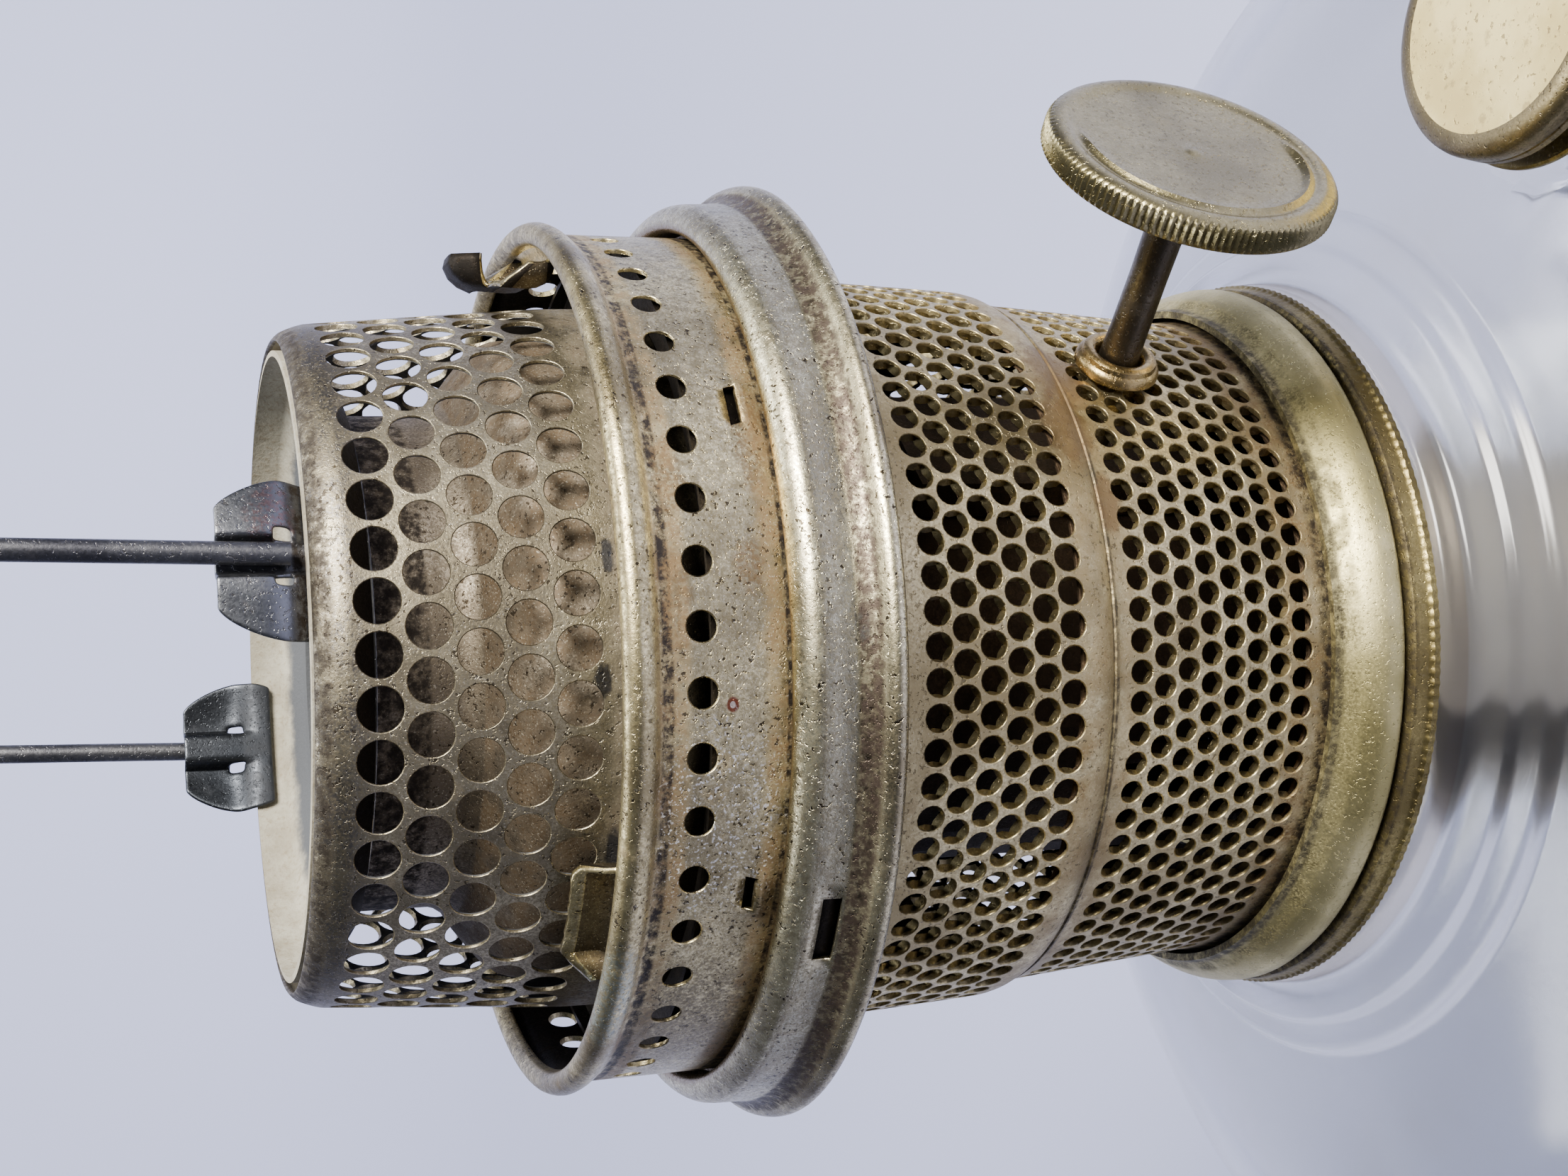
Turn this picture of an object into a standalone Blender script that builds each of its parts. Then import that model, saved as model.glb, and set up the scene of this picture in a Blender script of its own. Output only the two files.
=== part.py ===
"""Mantle oil lamp: a round-wick burner with a perforated cone, on a clear glass font.

+Z is up and the origin is on the table, under the burner's axis. An azimuth is measured
from -Y, the viewer's side, towards +X. A profile is a list of (radius, height) points.
"""
from collections import namedtuple
from math import atan2, cos, hypot, pi, radians, sin, sqrt

import bmesh
import bpy
from mathutils import Matrix, Vector

MM = 0.001

# Sheet metal and clearances
SHEET = 0.5 * MM
TUBE_WALL = 0.6 * MM
GAP = 0.3 * MM
RUN_GAP = 0.4 * MM
OVERRUN = 3.0 * MM
ON_AXIS = 0.001 * MM

# Facets round a full turn
SEGMENTS = 32
FONT_SEGMENTS = 36
SMALL_SEGMENTS = 20
SMOOTH_ANGLE = radians(32.0)

# Glass font: bowl, foot, stepped shoulder and neck
FONT_RADIUS = 88.0 * MM
FONT_WALL = 4.0 * MM
FONT_EQUATOR = 58.0 * MM
FONT_RISE = 47.4 * MM
FONT_DROP = 44.0 * MM
FOOT_RADIUS = 60.0 * MM
FOOT_HEIGHT = 6.5 * MM
FOOT_BAND = 9.0 * MM
FOOT_EASE = 1.5 * MM
FOOT_KICK = 5.0 * MM
STEM_RADIUS = 49.0 * MM
STEM_HEIGHT = 14.0 * MM
STEP_REACHES = (6.9 * MM, 4.0 * MM, 0.5 * MM)
STEP_RISES = (1.0 * MM, 1.0 * MM, 2.4 * MM)
STEP_EASE = 0.4 * MM
STEP_SLOPE = 0.6 * MM
NECK_WALL = 3.8 * MM
NECK_RISE = 1.8 * MM
LOWER_BOWL_SHARES = (0.66, 0.8, 0.91, 0.98, 1.0)
UPPER_BOWL_SHARES = (0.97, 0.9, 0.79, 0.67, 0.55)
INNER_BOWL_SHARES = (0.45, 0.62, 0.78, 0.9, 0.98)

# Font collar with its milled foot, and the plaster that holds it
COLLAR_SHEET = 0.6 * MM
COLLAR_RADIUS = 31.2 * MM
COLLAR_MILLING = 0.35 * MM
COLLAR_MILLING_HEIGHT = 0.7 * MM
COLLAR_THREAD_LENGTH = 6.0 * MM
COLLAR_THREAD_GAP = 0.6 * MM
PLASTER_WIDTH = 1.0 * MM

# Filler and its cap, on an axis that leans out from the shoulder
FILLER_AZIMUTH = radians(53.2)
FILLER_REACH = 57.8 * MM
FILLER_TILT = radians(8.0)
BOSS_RADIUS = 12.6 * MM
BOSS_HEIGHT = 2.6 * MM
BOSS_ROOT = 6.6 * MM
SEAT_MARGIN = 0.5 * MM
FILLER_HOLE = 8.6 * MM
FILLER_BORE = 7.0 * MM
FILLER_TUBE_DEPTH = 3.0 * MM
FILLER_FLANGE = 11.4 * MM
FILLER_FLANGE_THICKNESS = 0.6 * MM
FILLER_THREAD = 9.7 * MM
FILLER_THREAD_HEIGHT = 2.4 * MM
CAP_STANDOFF = 1.9 * MM
CAP_WALL = 1.3 * MM
CAP_EASE = 0.8 * MM
CAP_TOP = 1.2 * MM
GASKET_WIDTH = 2.4 * MM
GASKET_THICKNESS = 0.7 * MM

# Burner base: a bulged ring whose thread screws into the collar
BASE_SHEET = 0.6 * MM
BASE_INSET = 0.1 * MM
BASE_BULGE = 2.0 * MM
BASE_HEIGHT = 5.3 * MM
BASE_THREAD_LENGTH = 5.8 * MM
BASE_BULGE_SHARES = ((0.8, 0.0), (1.0, 0.1), (0.95, 0.3), (0.6, 0.65), (0.1, 0.9), (0.0, 1.0))

# Pan that closes the base round the wick tube
PAN_INSET = 1.5 * MM
PAN_RISE = 2.1 * MM
PAN_THICKNESS = 0.6 * MM

# Basket with two perforated tiers and a waist between them
BASKET_HIP_SHARE = 0.39
BASKET_WAIST_STEP = 1.1 * MM
BASKET_TOP_RADIUS = 31.0 * MM
BASKET_RIM = 2.0 * MM
BASKET_FOOT_PLAIN = 3.4 * MM
BASKET_LOWER_TIER = 16.0 * MM
BASKET_WAIST = 4.3 * MM
BASKET_UPPER_TIER = 14.0 * MM
BASKET_TOP_PLAIN = 4.5 * MM
BASKET_HOLES = 16
BASKET_LOWER_ROWS = 3
BASKET_UPPER_ROWS = 2
BASKET_LOWER_HOLE = 2.25 * MM
BASKET_UPPER_HOLE = 2.9 * MM
BASKET_WAIST_SHARES = ((0.1, 0.35), (1.0, 0.7))

# Flange on the basket, with a well that the gallery turns in
FLANGE_REACH = 3.95 * MM
FLANGE_HEIGHT = 7.4 * MM
FLANGE_WELL_DEPTH = 2.7 * MM
FLANGE_LEDGE = 2.1 * MM
FLANGE_SHARES = (
    (0.8, 0.0),
    (1.0, 0.12),
    (0.75, 0.3),
    (0.57, 0.47),
    (0.57, 0.76),
    (0.4, 0.95),
    (0.14, 1.0),
    (0.0, 0.93),
)

# Gallery band with its bead and three chimney lugs
BAND_STANDOFF = 3.0 * MM
BAND_HOLES = 48
BAND_HOLE_PHASE = radians(2.75)
BAND_HOLE_RADIUS = 1.15 * MM
BAND_HOLE_RISE = 8.35 * MM
BAND_HEIGHT = 10.95 * MM
BEAD_SWELL = 0.9 * MM
BEAD_INSET = 1.1 * MM
BEAD_HEIGHT = 2.9 * MM
BEAD_SHARES = ((1.0, 0.6), (0.65, 0.96), (0.25, 1.0), (0.0, 0.6))
LUG_COUNT = 3
LUG_HOLES = 3
LUG_SKIPPED_HOLES = 41
LUG_REACH = 2.5 * MM
LUG_HEIGHT = 3.2 * MM

# Gallery floor, which carries both cones and seats the chimney on a raised ledge
FLOOR_RISE = 4.75 * MM
FLOOR_LAP = 3.15 * MM
FLOOR_UPSTAND = 1.8 * MM
CHIMNEY_LEDGE = 1.0 * MM

# Outer cone
CONE_INSET = 5.85 * MM
CONE_TAPER = 1.65 * MM
CONE_LIP = 1.2 * MM
CONE_FOOT_PLAIN = 6.8 * MM
CONE_PERFORATION = 18.4 * MM
CONE_TOP_PLAIN = 2.1 * MM
CONE_HOLES = 20
CONE_ROWS = 3
CONE_HOLE_RADIUS = 2.9 * MM
CONE_TOP_SHARES = (0.6, 0.7)

# Inner cone, which turns the air in towards the flame: a skirt, a shoulder and a narrow sleeve
INNER_CONE_INSET = 1.95 * MM
INNER_CONE_TAPER = 0.75 * MM
INNER_CONE_SHOULDER = 5.0 * MM
INNER_CONE_NECKING = 0.9 * MM
INNER_CONE_HEIGHT = 22.3 * MM
INNER_CONE_CREASE_HEIGHT = 10.6 * MM
INNER_CONE_SHOULDER_HEIGHT = 4.3 * MM
INNER_CONE_NECKING_HEIGHT = 1.0 * MM
INNER_CONE_SHOULDER_SHARES = (0.6, 0.5)

# Wick tubes and the two air ducts between them
OUTER_TUBE_INSET = 5.0 * MM
OUTER_TUBE_DROP = 6.0 * MM
OUTER_TUBE_RISE = 64.0 * MM
INNER_TUBE_FOOT = 4.0 * MM
INNER_TUBE_STEP = 1.0 * MM
DUCT_SIDE = 9.4 * MM
DUCT_RISE = 2.4 * MM
DUCT_OUTREACH = 0.9 * MM

# Wick, split under the ducts into two tails, and its carrier
WICK_THICKNESS = 2.0 * MM
WICK_STAND = 1.5 * MM
WICK_TAIL = 72.0 * MM
WICK_SLOT_MARGIN = 0.5 * MM
CARRIER_RISE = 21.0 * MM
CARRIER_BAND = 8.0 * MM
CARRIER_ARM_SEGMENTS = 2

# Knob, shaft, pinion and rack, on a level axis through the basket
KNOB_AZIMUTH = radians(46.8)
KNOB_TURN = radians(180.0)
SHAFT_RISE = 15.85 * MM
SHAFT_RADIUS = 1.6 * MM
KNOB_RADIUS = 11.2 * MM
KNOB_THICKNESS = 2.4 * MM
KNOB_EASE = 0.6 * MM
KNOB_DISH = 0.4 * MM
KNOB_RIM = 1.3 * MM
KNOB_REACH = 49.0 * MM
KNOB_HUB_RADIUS = 3.2 * MM
KNOB_HUB_LENGTH = 1.4 * MM
BUSHING_RADIUS = 3.4 * MM
BUSHING_STAND = 1.9 * MM
BUSHING_SLEEVE = 0.5 * MM
BUSHING_DEPTH = 3.0 * MM
GEAR_WIDTH = 2.0 * MM
PINION_TEETH = 10
PINION_PITCH_RADIUS = 3.0 * MM
TOOTH_ADDENDUM = 0.45 * MM
TOOTH_DEDENDUM = 0.75 * MM
TOOTH_TIP_WIDTH = 0.35 * MM
TOOTH_ROOT_WIDTH = 0.85 * MM
RACK_BACK = 1.45 * MM
HOUSING_WALL = 0.8 * MM
HOUSING_ROOM = 0.6 * MM

# Flame spreader, a closed thimble that stands in the inner tube
SPREADER_INSET = 1.4 * MM
SPREADER_SKIRT = 9.0 * MM
SPREADER_COLLAR = 1.2 * MM
SPREADER_NECK = 0.9 * MM
SPREADER_PERFORATION = 8.6 * MM
SPREADER_CROWN = 1.6 * MM
SPREADER_HOLES = 12
SPREADER_ROWS = 2
SPREADER_HOLE_RADIUS = 1.7 * MM

# Mantle holder: ring, two clips and the arched wire
HOLDER_AZIMUTH = radians(17.5)
RING_SEAT = 1.5 * MM
RING_SLOPE = 2.4 * MM
RING_HEIGHT = 4.8 * MM
CLIP_THICKNESS = 0.6 * MM
CLIP_WIDTH = 11.6 * MM
CLIP_HEIGHT = 6.1 * MM
CLIP_GROOVE_RUN = 0.7 * MM
CLIP_FLARE = 1.2 * MM
WIRE_RADIUS = 0.8 * MM
WIRE_BEVEL_STEPS = 2
WIRE_LEAN = radians(2.0)
WIRE_FOOT = 1.1 * MM
WIRE_LEG = 69.4 * MM
WIRE_STEPS = 16
CLIP_WING_SHARES = (0.5, 1.0)
CLIP_ROW_SHARES = (
    (0.0, 0.9, 0.0),
    (0.21, 1.0, 0.0),
    (0.34, 1.0, 0.6),
    (0.5, 0.98, 1.0),
    (0.79, 0.84, 1.0),
    (1.0, 0.55, 1.0),
)

# Radii that follow, from the collar inward and up
STEP_RADII = tuple(COLLAR_RADIUS + reach for reach in STEP_REACHES)
SHOULDER_RADIUS = STEP_RADII[0] + STEP_EASE
PLASTER_RADIUS = COLLAR_RADIUS - COLLAR_SHEET - GAP
NECK_RADIUS = PLASTER_RADIUS - PLASTER_WIDTH - GAP
NECK_BORE = NECK_RADIUS - NECK_WALL
COLLAR_BORE = NECK_BORE - COLLAR_THREAD_GAP - COLLAR_SHEET
BASE_RADIUS = COLLAR_RADIUS - BASE_INSET
BASE_LIP_RADIUS = BASE_RADIUS - BASE_BULGE
BASE_THREAD_RADIUS = COLLAR_BORE - RUN_GAP
PAN_RADIUS = BASE_RADIUS - PAN_INSET
OUTER_TUBE_RADIUS = BASE_THREAD_RADIUS - OUTER_TUBE_INSET
OUTER_TUBE_BORE = OUTER_TUBE_RADIUS - TUBE_WALL
CARRIER_RADIUS = OUTER_TUBE_BORE - RUN_GAP
WICK_RADIUS = CARRIER_RADIUS - SHEET - GAP
INNER_TUBE_RADIUS = WICK_RADIUS - WICK_THICKNESS - RUN_GAP
INNER_TUBE_BORE = INNER_TUBE_RADIUS - TUBE_WALL
SPREADER_RADIUS = INNER_TUBE_BORE - SPREADER_INSET
BASKET_FOOT_RADIUS = BASE_LIP_RADIUS - BASE_SHEET - GAP
BASKET_HIP_RADIUS = BASKET_FOOT_RADIUS + BASKET_HIP_SHARE * (BASKET_TOP_RADIUS - BASKET_FOOT_RADIUS)
BAND_RADIUS = BASKET_TOP_RADIUS + BAND_STANDOFF
BEAD_RADIUS = BAND_RADIUS + BEAD_SWELL
BEAD_MOUTH = BAND_RADIUS - BEAD_INSET
WELL_RADIUS = BAND_RADIUS + RUN_GAP
CONE_FOOT_RADIUS = BAND_RADIUS - CONE_INSET
CONE_SHOULDER_RADIUS = CONE_FOOT_RADIUS - CONE_TAPER
CONE_MOUTH_RADIUS = CONE_SHOULDER_RADIUS - CONE_LIP
INNER_CONE_FOOT = CONE_FOOT_RADIUS - INNER_CONE_INSET
INNER_CONE_CREASE = INNER_CONE_FOOT - INNER_CONE_TAPER
INNER_CONE_THROAT = INNER_CONE_CREASE - INNER_CONE_SHOULDER
INNER_CONE_SLEEVE = INNER_CONE_THROAT - INNER_CONE_NECKING
FLOOR_BORE = CONE_FOOT_RADIUS - FLOOR_LAP
LEDGE_RADIUS = (CONE_FOOT_RADIUS + GAP) / cos(pi / SEGMENTS) + SHEET
RING_RADIUS = CONE_MOUTH_RADIUS - SHEET - GAP
RING_BORE = INNER_CONE_SLEEVE - SHEET
RING_SEAT_RADIUS = INNER_CONE_SLEEVE + RING_SEAT
CLIP_RADIUS = RING_RADIUS - SHEET - GAP
WIRE_REACH = CLIP_RADIUS + GAP + WIRE_RADIUS
CAP_BORE = FILLER_THREAD + GAP
CAP_RADIUS = CAP_BORE + CAP_WALL
BUSHING_BORE = SHAFT_RADIUS + GAP
BUSHING_SLEEVE_RADIUS = BUSHING_BORE + BUSHING_SLEEVE
BASKET_SHAFT_HOLE = (BUSHING_SLEEVE_RADIUS + GAP) / cos(pi / 6)

# Heights that follow, from the table up
SHOULDER_TOP = FONT_EQUATOR + FONT_RISE * sqrt(1 - (SHOULDER_RADIUS / FONT_RADIUS) ** 2)
GLASS_TOP = SHOULDER_TOP + sum(STEP_RISES) + STEP_SLOPE * (len(STEP_RISES) - 1)
NECK_TOP = GLASS_TOP + NECK_RISE
COLLAR_FOOT = GLASS_TOP + GAP
COLLAR_TOP = NECK_TOP + GAP + COLLAR_SHEET
BASE_FOOT = COLLAR_TOP + GAP
PAN_TOP = BASE_FOOT + PAN_RISE + PAN_THICKNESS
SHAFT_HEIGHT = PAN_TOP + SHAFT_RISE
BASKET_FOOT = PAN_TOP + GAP
LOWER_TIER_FOOT = BASKET_FOOT + BASKET_FOOT_PLAIN
LOWER_TIER_TOP = LOWER_TIER_FOOT + BASKET_LOWER_TIER
UPPER_TIER_FOOT = LOWER_TIER_TOP + BASKET_WAIST
UPPER_TIER_TOP = UPPER_TIER_FOOT + BASKET_UPPER_TIER
BASKET_TOP = UPPER_TIER_TOP + BASKET_TOP_PLAIN
FLANGE_FOOT = BASKET_TOP - GAP - SHEET
FLANGE_TOP = FLANGE_FOOT + FLANGE_HEIGHT
WELL_FLOOR = FLANGE_TOP - FLANGE_WELL_DEPTH
BAND_FOOT = WELL_FLOOR + GAP
BEAD_FOOT = BAND_FOOT + BAND_HEIGHT
FLOOR_FOOT = BAND_FOOT + FLOOR_RISE
CONE_FOOT = FLOOR_FOOT + SHEET + GAP
CONE_TIER_FOOT = CONE_FOOT + CONE_FOOT_PLAIN
CONE_SHOULDER = CONE_TIER_FOOT + CONE_PERFORATION
CONE_TOP = CONE_SHOULDER + CONE_TOP_PLAIN
RING_FOOT = CONE_FOOT + INNER_CONE_HEIGHT + GAP
CLIP_FOOT = RING_FOOT + RING_SLOPE + SHEET + GAP
CLIP_TOP = CONE_TOP + CLIP_HEIGHT
WIRE_BOTTOM = CONE_TOP + WIRE_FOOT
OUTER_TUBE_TOP = PAN_TOP + OUTER_TUBE_RISE
INNER_TUBE_BASE = PAN_TOP + INNER_TUBE_FOOT
INNER_TUBE_TOP = OUTER_TUBE_TOP - INNER_TUBE_STEP
DUCT_HEIGHT = INNER_TUBE_BASE + DUCT_RISE + DUCT_SIDE / 2
CARRIER_FOOT = PAN_TOP + CARRIER_RISE
HOUSING_FOOT = PAN_TOP + GAP
RACK_FOOT = HOUSING_FOOT + HOUSING_WALL + GAP

# Places along the shaft, from the lamp's axis out
BASKET_SHAFT_RADIUS = BASKET_FOOT_RADIUS + (BASKET_HIP_RADIUS - BASKET_FOOT_RADIUS) * (
    (SHAFT_HEIGHT - LOWER_TIER_FOOT) / BASKET_LOWER_TIER
)
RACK_START = CARRIER_RADIUS + GAP
GEAR_START = OUTER_TUBE_BORE + GAP
GEAR_END = GEAR_START + GEAR_WIDTH
SHAFT_START = GEAR_END + GAP
KNOB_BACK = KNOB_REACH - KNOB_THICKNESS
HUB_START = KNOB_BACK - KNOB_HUB_LENGTH
SHAFT_END = HUB_START - GAP

# Gear places in the plane of the pinion, from the shaft's axis
TOOTH_PITCH = 2 * pi * PINION_PITCH_RADIUS / PINION_TEETH
PINION_TIP = PINION_PITCH_RADIUS + TOOTH_ADDENDUM
PINION_ROOT = PINION_PITCH_RADIUS - TOOTH_DEDENDUM
RACK_TIP = PINION_PITCH_RADIUS - TOOTH_ADDENDUM
RACK_ROOT = PINION_PITCH_RADIUS + TOOTH_DEDENDUM
RACK_OUTSIDE = RACK_ROOT + RACK_BACK
WICK_TRAVEL = KNOB_TURN * PINION_PITCH_RADIUS
RACK_LENGTH = WICK_TRAVEL + 2 * PINION_TIP + 2 * TOOTH_PITCH
RACK_ROOM_FOOT = RACK_FOOT - GAP
RACK_ROOM_TOP = RACK_FOOT + RACK_LENGTH + WICK_TRAVEL + GAP

# Colour, metallic value and roughness of each finish
NICKEL = ((0.55, 0.51, 0.42), 1.0, 0.38)
TAN_NICKEL = ((0.58, 0.43, 0.27), 1.0, 0.45)
BRASS = ((0.62, 0.47, 0.2), 1.0, 0.42)
DARK_STEEL = ((0.09, 0.1, 0.12), 1.0, 0.5)
BLUED_STEEL = ((0.25, 0.27, 0.3), 1.0, 0.45)
GLASS = ((0.86, 0.9, 0.9), 0.0, 0.05, 1.0)
PLASTER = ((0.42, 0.3, 0.17), 0.0, 0.7)
CORK = ((0.4, 0.27, 0.16), 0.0, 0.85)
COTTON = ((0.78, 0.74, 0.64), 0.0, 0.95)

Ring = namedtuple("Ring", "radius height")
Row = namedtuple("Row", "radius height slope hole")


def polar(radius, azimuth, height):
    """A point at this radius and azimuth."""
    return Vector((radius * sin(azimuth), -radius * cos(azimuth), height))


def bowl_points(shares, radius, rise):
    """Points of an elliptical bowl at these shares of its radius; a fall is a negative rise."""
    return [(share * radius, FONT_EQUATOR + rise * sqrt(1 - share * share)) for share in shares]


def sheet_loop(path, thickness):
    """Closes a path into the outline of a sheet that lies on the path's left side."""
    normals = []
    for (r0, z0), (r1, z1) in zip(path, path[1:]):
        length = hypot(r1 - r0, z1 - z0)
        normals.append(((z0 - z1) / length, (r1 - r0) / length))
    inner = []
    for index, (radius, height) in enumerate(path):
        before = normals[max(index - 1, 0)]
        after = normals[min(index, len(normals) - 1)]
        mitre = thickness / (1 + before[0] * after[0] + before[1] * after[1])
        shift = (mitre * (before[0] + after[0]), mitre * (before[1] + after[1]))
        inner.append((radius + shift[0], height + shift[1]))
    return path + inner[::-1]


def material(name, color, metallic, roughness, transmission=0.0):
    """A plain material with this colour and finish."""
    made = bpy.data.materials.new(name)
    made.use_nodes = True
    shader = made.node_tree.nodes["Principled BSDF"]
    shader.inputs["Base Color"].default_value = (*color, 1.0)
    shader.inputs["Metallic"].default_value = metallic
    shader.inputs["Roughness"].default_value = roughness
    shader.inputs["Transmission Weight"].default_value = transmission
    made.diffuse_color = (*color, 1.0)
    return made


def frame(name, location=(0.0, 0.0, 0.0), rotation=(0.0, 0.0, 0.0)):
    """An empty on a body's joint axis, which carries its pieces."""
    empty = bpy.data.objects.new(name, None)
    empty.location = location
    empty.rotation_euler = rotation
    bpy.context.scene.collection.objects.link(empty)
    return empty


def add_object(name, data, finish, parent):
    """Links an object with its own material under a body's empty."""
    data.materials.append(material(name, *finish))
    piece = bpy.data.objects.new(name, data)
    piece.parent = parent
    bpy.context.scene.collection.objects.link(piece)
    return piece


def add_mesh(name, mesh, finish, parent):
    """Turns a finished bmesh into a smooth-shaded object."""
    data = bpy.data.meshes.new(name)
    mesh.to_mesh(data)
    mesh.free()
    data.shade_smooth()
    data.set_sharp_from_angle(angle=SMOOTH_ANGLE)
    return add_object(name, data, finish, parent)


def solid(name, mesh, finish, parent):
    """An object of a closed mesh, with its faces turned outward."""
    bmesh.ops.recalc_face_normals(mesh, faces=mesh.faces)
    return add_mesh(name, mesh, finish, parent)


def skin(name, mesh, thickness, finish, parent):
    """An object of an open sheet, thickened on the side away from its normals."""
    piece = add_mesh(name, mesh, finish, parent)
    wall = piece.modifiers.new("Thickness", "SOLIDIFY")
    wall.thickness = thickness
    wall.offset = -1.0
    wall.use_even_offset = True
    wall.use_quality_normals = True
    return piece


def carve(piece, cutter, operation="DIFFERENCE"):
    """Takes a hidden tool shape away from a piece, or joins it on."""
    cutter.hide_render = True
    cutter.display_type = "WIRE"
    step = piece.modifiers.new(cutter.name, "BOOLEAN")
    step.operation = operation
    step.solver = "EXACT"
    step.object = cutter


def turned_mesh(profile, segments=SEGMENTS, phase=0.0):
    """Turns a closed profile about Z. Points on the axis become single vertices."""
    mesh = bmesh.new()
    columns = []
    for radius, height in profile:
        if radius < ON_AXIS:
            pole = mesh.verts.new((0.0, 0.0, height))
            columns.append([pole] * segments)
        else:
            turn = [phase + 2 * pi * step / segments for step in range(segments)]
            columns.append([mesh.verts.new(polar(radius, angle, height)) for angle in turn])
    for lower, upper in zip(columns, columns[1:] + columns[:1]):
        for step in range(segments):
            after = (step + 1) % segments
            corners = dict.fromkeys((lower[step], lower[after], upper[after], upper[step]))
            if len(corners) > 2:
                mesh.faces.new(corners)
    return mesh


def cylinder_mesh(radius, start, end, segments=SMALL_SEGMENTS):
    """A plain cylinder about Z."""
    return turned_mesh([(0.0, start), (radius, start), (radius, end), (0.0, end)], segments)


def prism_mesh(outline, start, end):
    """Extrudes an outline of (y, z) points along X."""
    mesh = bmesh.new()
    near = [mesh.verts.new((start, y, z)) for y, z in outline]
    far = [mesh.verts.new((end, y, z)) for y, z in outline]
    mesh.faces.new(near)
    mesh.faces.new(far[::-1])
    for index in range(len(outline)):
        after = (index + 1) % len(outline)
        mesh.faces.new((near[index], far[index], far[after], near[after]))
    return mesh


def box_mesh(low, high):
    """A box between two corners."""
    outline = [(low[1], low[2]), (high[1], low[2]), (high[1], high[2]), (low[1], high[2])]
    return prism_mesh(outline, low[0], high[0])


def along_x(mesh):
    """Lays a mesh that was turned about Z along X."""
    bmesh.ops.rotate(mesh, matrix=Matrix.Rotation(pi / 2, 3, "Y"), verts=mesh.verts)
    return mesh


def rows_between(foot, top, heights, hole):
    """Rows of holes at these heights, on the cone between two rings."""
    slope = (top.radius - foot.radius) / (top.height - foot.height)
    return [Row(foot.radius + slope * (height - foot.height), height, slope, hole) for height in heights]


def spaced(low, high, count):
    """The middles of equal shares of a span."""
    return [low + (high - low) * (index + 1 / 2) / count for index in range(count)]


def hexagon(mesh, row, hole, azimuth):
    """A hole's corners: top, upper right, lower right, bottom, lower left, upper left."""
    corners = []
    for corner in range(6):
        rise = hole * cos(corner * pi / 3)
        reach = row.radius + row.slope * rise
        turn = azimuth + hole * sin(corner * pi / 3) / reach
        corners.append(mesh.verts.new(polar(reach, turn, row.height + rise)))
    return corners


def join_rings(mesh, lower, upper):
    """The plain faces between two rings."""
    for index in range(len(lower)):
        after = (index + 1) % len(lower)
        mesh.faces.new((lower[index], lower[after], upper[after], upper[index]))


def join_rows(mesh, lower, upper, shift):
    """The faces between two staggered rows."""
    count = len(lower)
    for index, hole in enumerate(lower):
        right = upper[(index + shift) % count]
        left = upper[(index + shift - 1) % count]
        after = lower[(index + 1) % count]
        mesh.faces.new((hole[0], hole[1], right[3], right[4]))
        mesh.faces.new((hole[5], hole[0], left[2], left[3]))
        mesh.faces.new((hole[0], right[4], left[2]))
        mesh.faces.new((hole[1], after[5], right[3]))


def open_row(mesh, ring, holes, shift):
    """The faces between a ring and the row above it."""
    for index, hole in enumerate(holes):
        after = holes[(index + 1) % len(holes)]
        if len(ring) == len(holes):
            centre = ring[index]
            right = ring[(index + 1) % len(ring)]
            mesh.faces.new((centre, hole[3], hole[4]))
            mesh.faces.new((centre, hole[2], hole[3]))
            mesh.faces.new((centre, right, after[4], hole[2]))
        else:
            left, centre, right = (ring[(2 * index + shift + side) % len(ring)] for side in (-1, 0, 1))
            mesh.faces.new((left, centre, hole[3], hole[4]))
            mesh.faces.new((centre, right, hole[2], hole[3]))
            mesh.faces.new((right, after[4], hole[2]))


def close_row(mesh, holes, ring, shift):
    """The faces between a row and the ring above it."""
    for index, hole in enumerate(holes):
        after = holes[(index + 1) % len(holes)]
        if len(ring) == len(holes):
            centre = ring[index]
            right = ring[(index + 1) % len(ring)]
            mesh.faces.new((hole[5], hole[0], centre))
            mesh.faces.new((hole[0], hole[1], centre))
            mesh.faces.new((hole[1], after[5], right, centre))
        else:
            left, centre, right = (ring[(2 * index + shift + side) % len(ring)] for side in (-1, 0, 1))
            mesh.faces.new((hole[5], hole[0], centre, left))
            mesh.faces.new((hole[0], hole[1], right, centre))
            mesh.faces.new((hole[1], after[5], right))


def perforated_mesh(count, stages, phase=0.0, density=2, wide=None):
    """An open sheet of rings and staggered rows of holes, listed from the foot up.

    density is the number of a ring's points for each hole of a row. wide is the row number,
    hole number and radius of the one hole with a size of its own. Returns the mesh and the
    points of its last ring.
    """
    mesh = bmesh.new()
    half_step = pi / count
    below = None
    below_is_row = False
    shift = 0
    row_number = 0
    for stage in stages:
        if isinstance(stage, Ring):
            step = 2 * half_step / density
            turn = [phase + step * index for index in range(density * count)]
            level = [mesh.verts.new(polar(stage.radius, angle, stage.height)) for angle in turn]
            if below_is_row:
                close_row(mesh, below, level, shift)
            elif below is not None:
                join_rings(mesh, below, level)
            below_is_row = False
        else:
            level = []
            next_shift = row_number % 2
            for index in range(count):
                own = wide is not None and wide[:2] == (row_number, index)
                azimuth = phase + half_step * (2 * index + next_shift)
                level.append(hexagon(mesh, stage, wide[2] if own else stage.hole, azimuth))
            if below_is_row:
                join_rows(mesh, below, level, shift)
            else:
                open_row(mesh, below, level, next_shift)
            for index, hole in enumerate(level):
                after = level[(index + 1) % count]
                mesh.faces.new((hole[2], after[4], after[5], hole[1]))
            shift = next_shift
            row_number += 1
            below_is_row = True
        below = level
    return mesh, below


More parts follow.
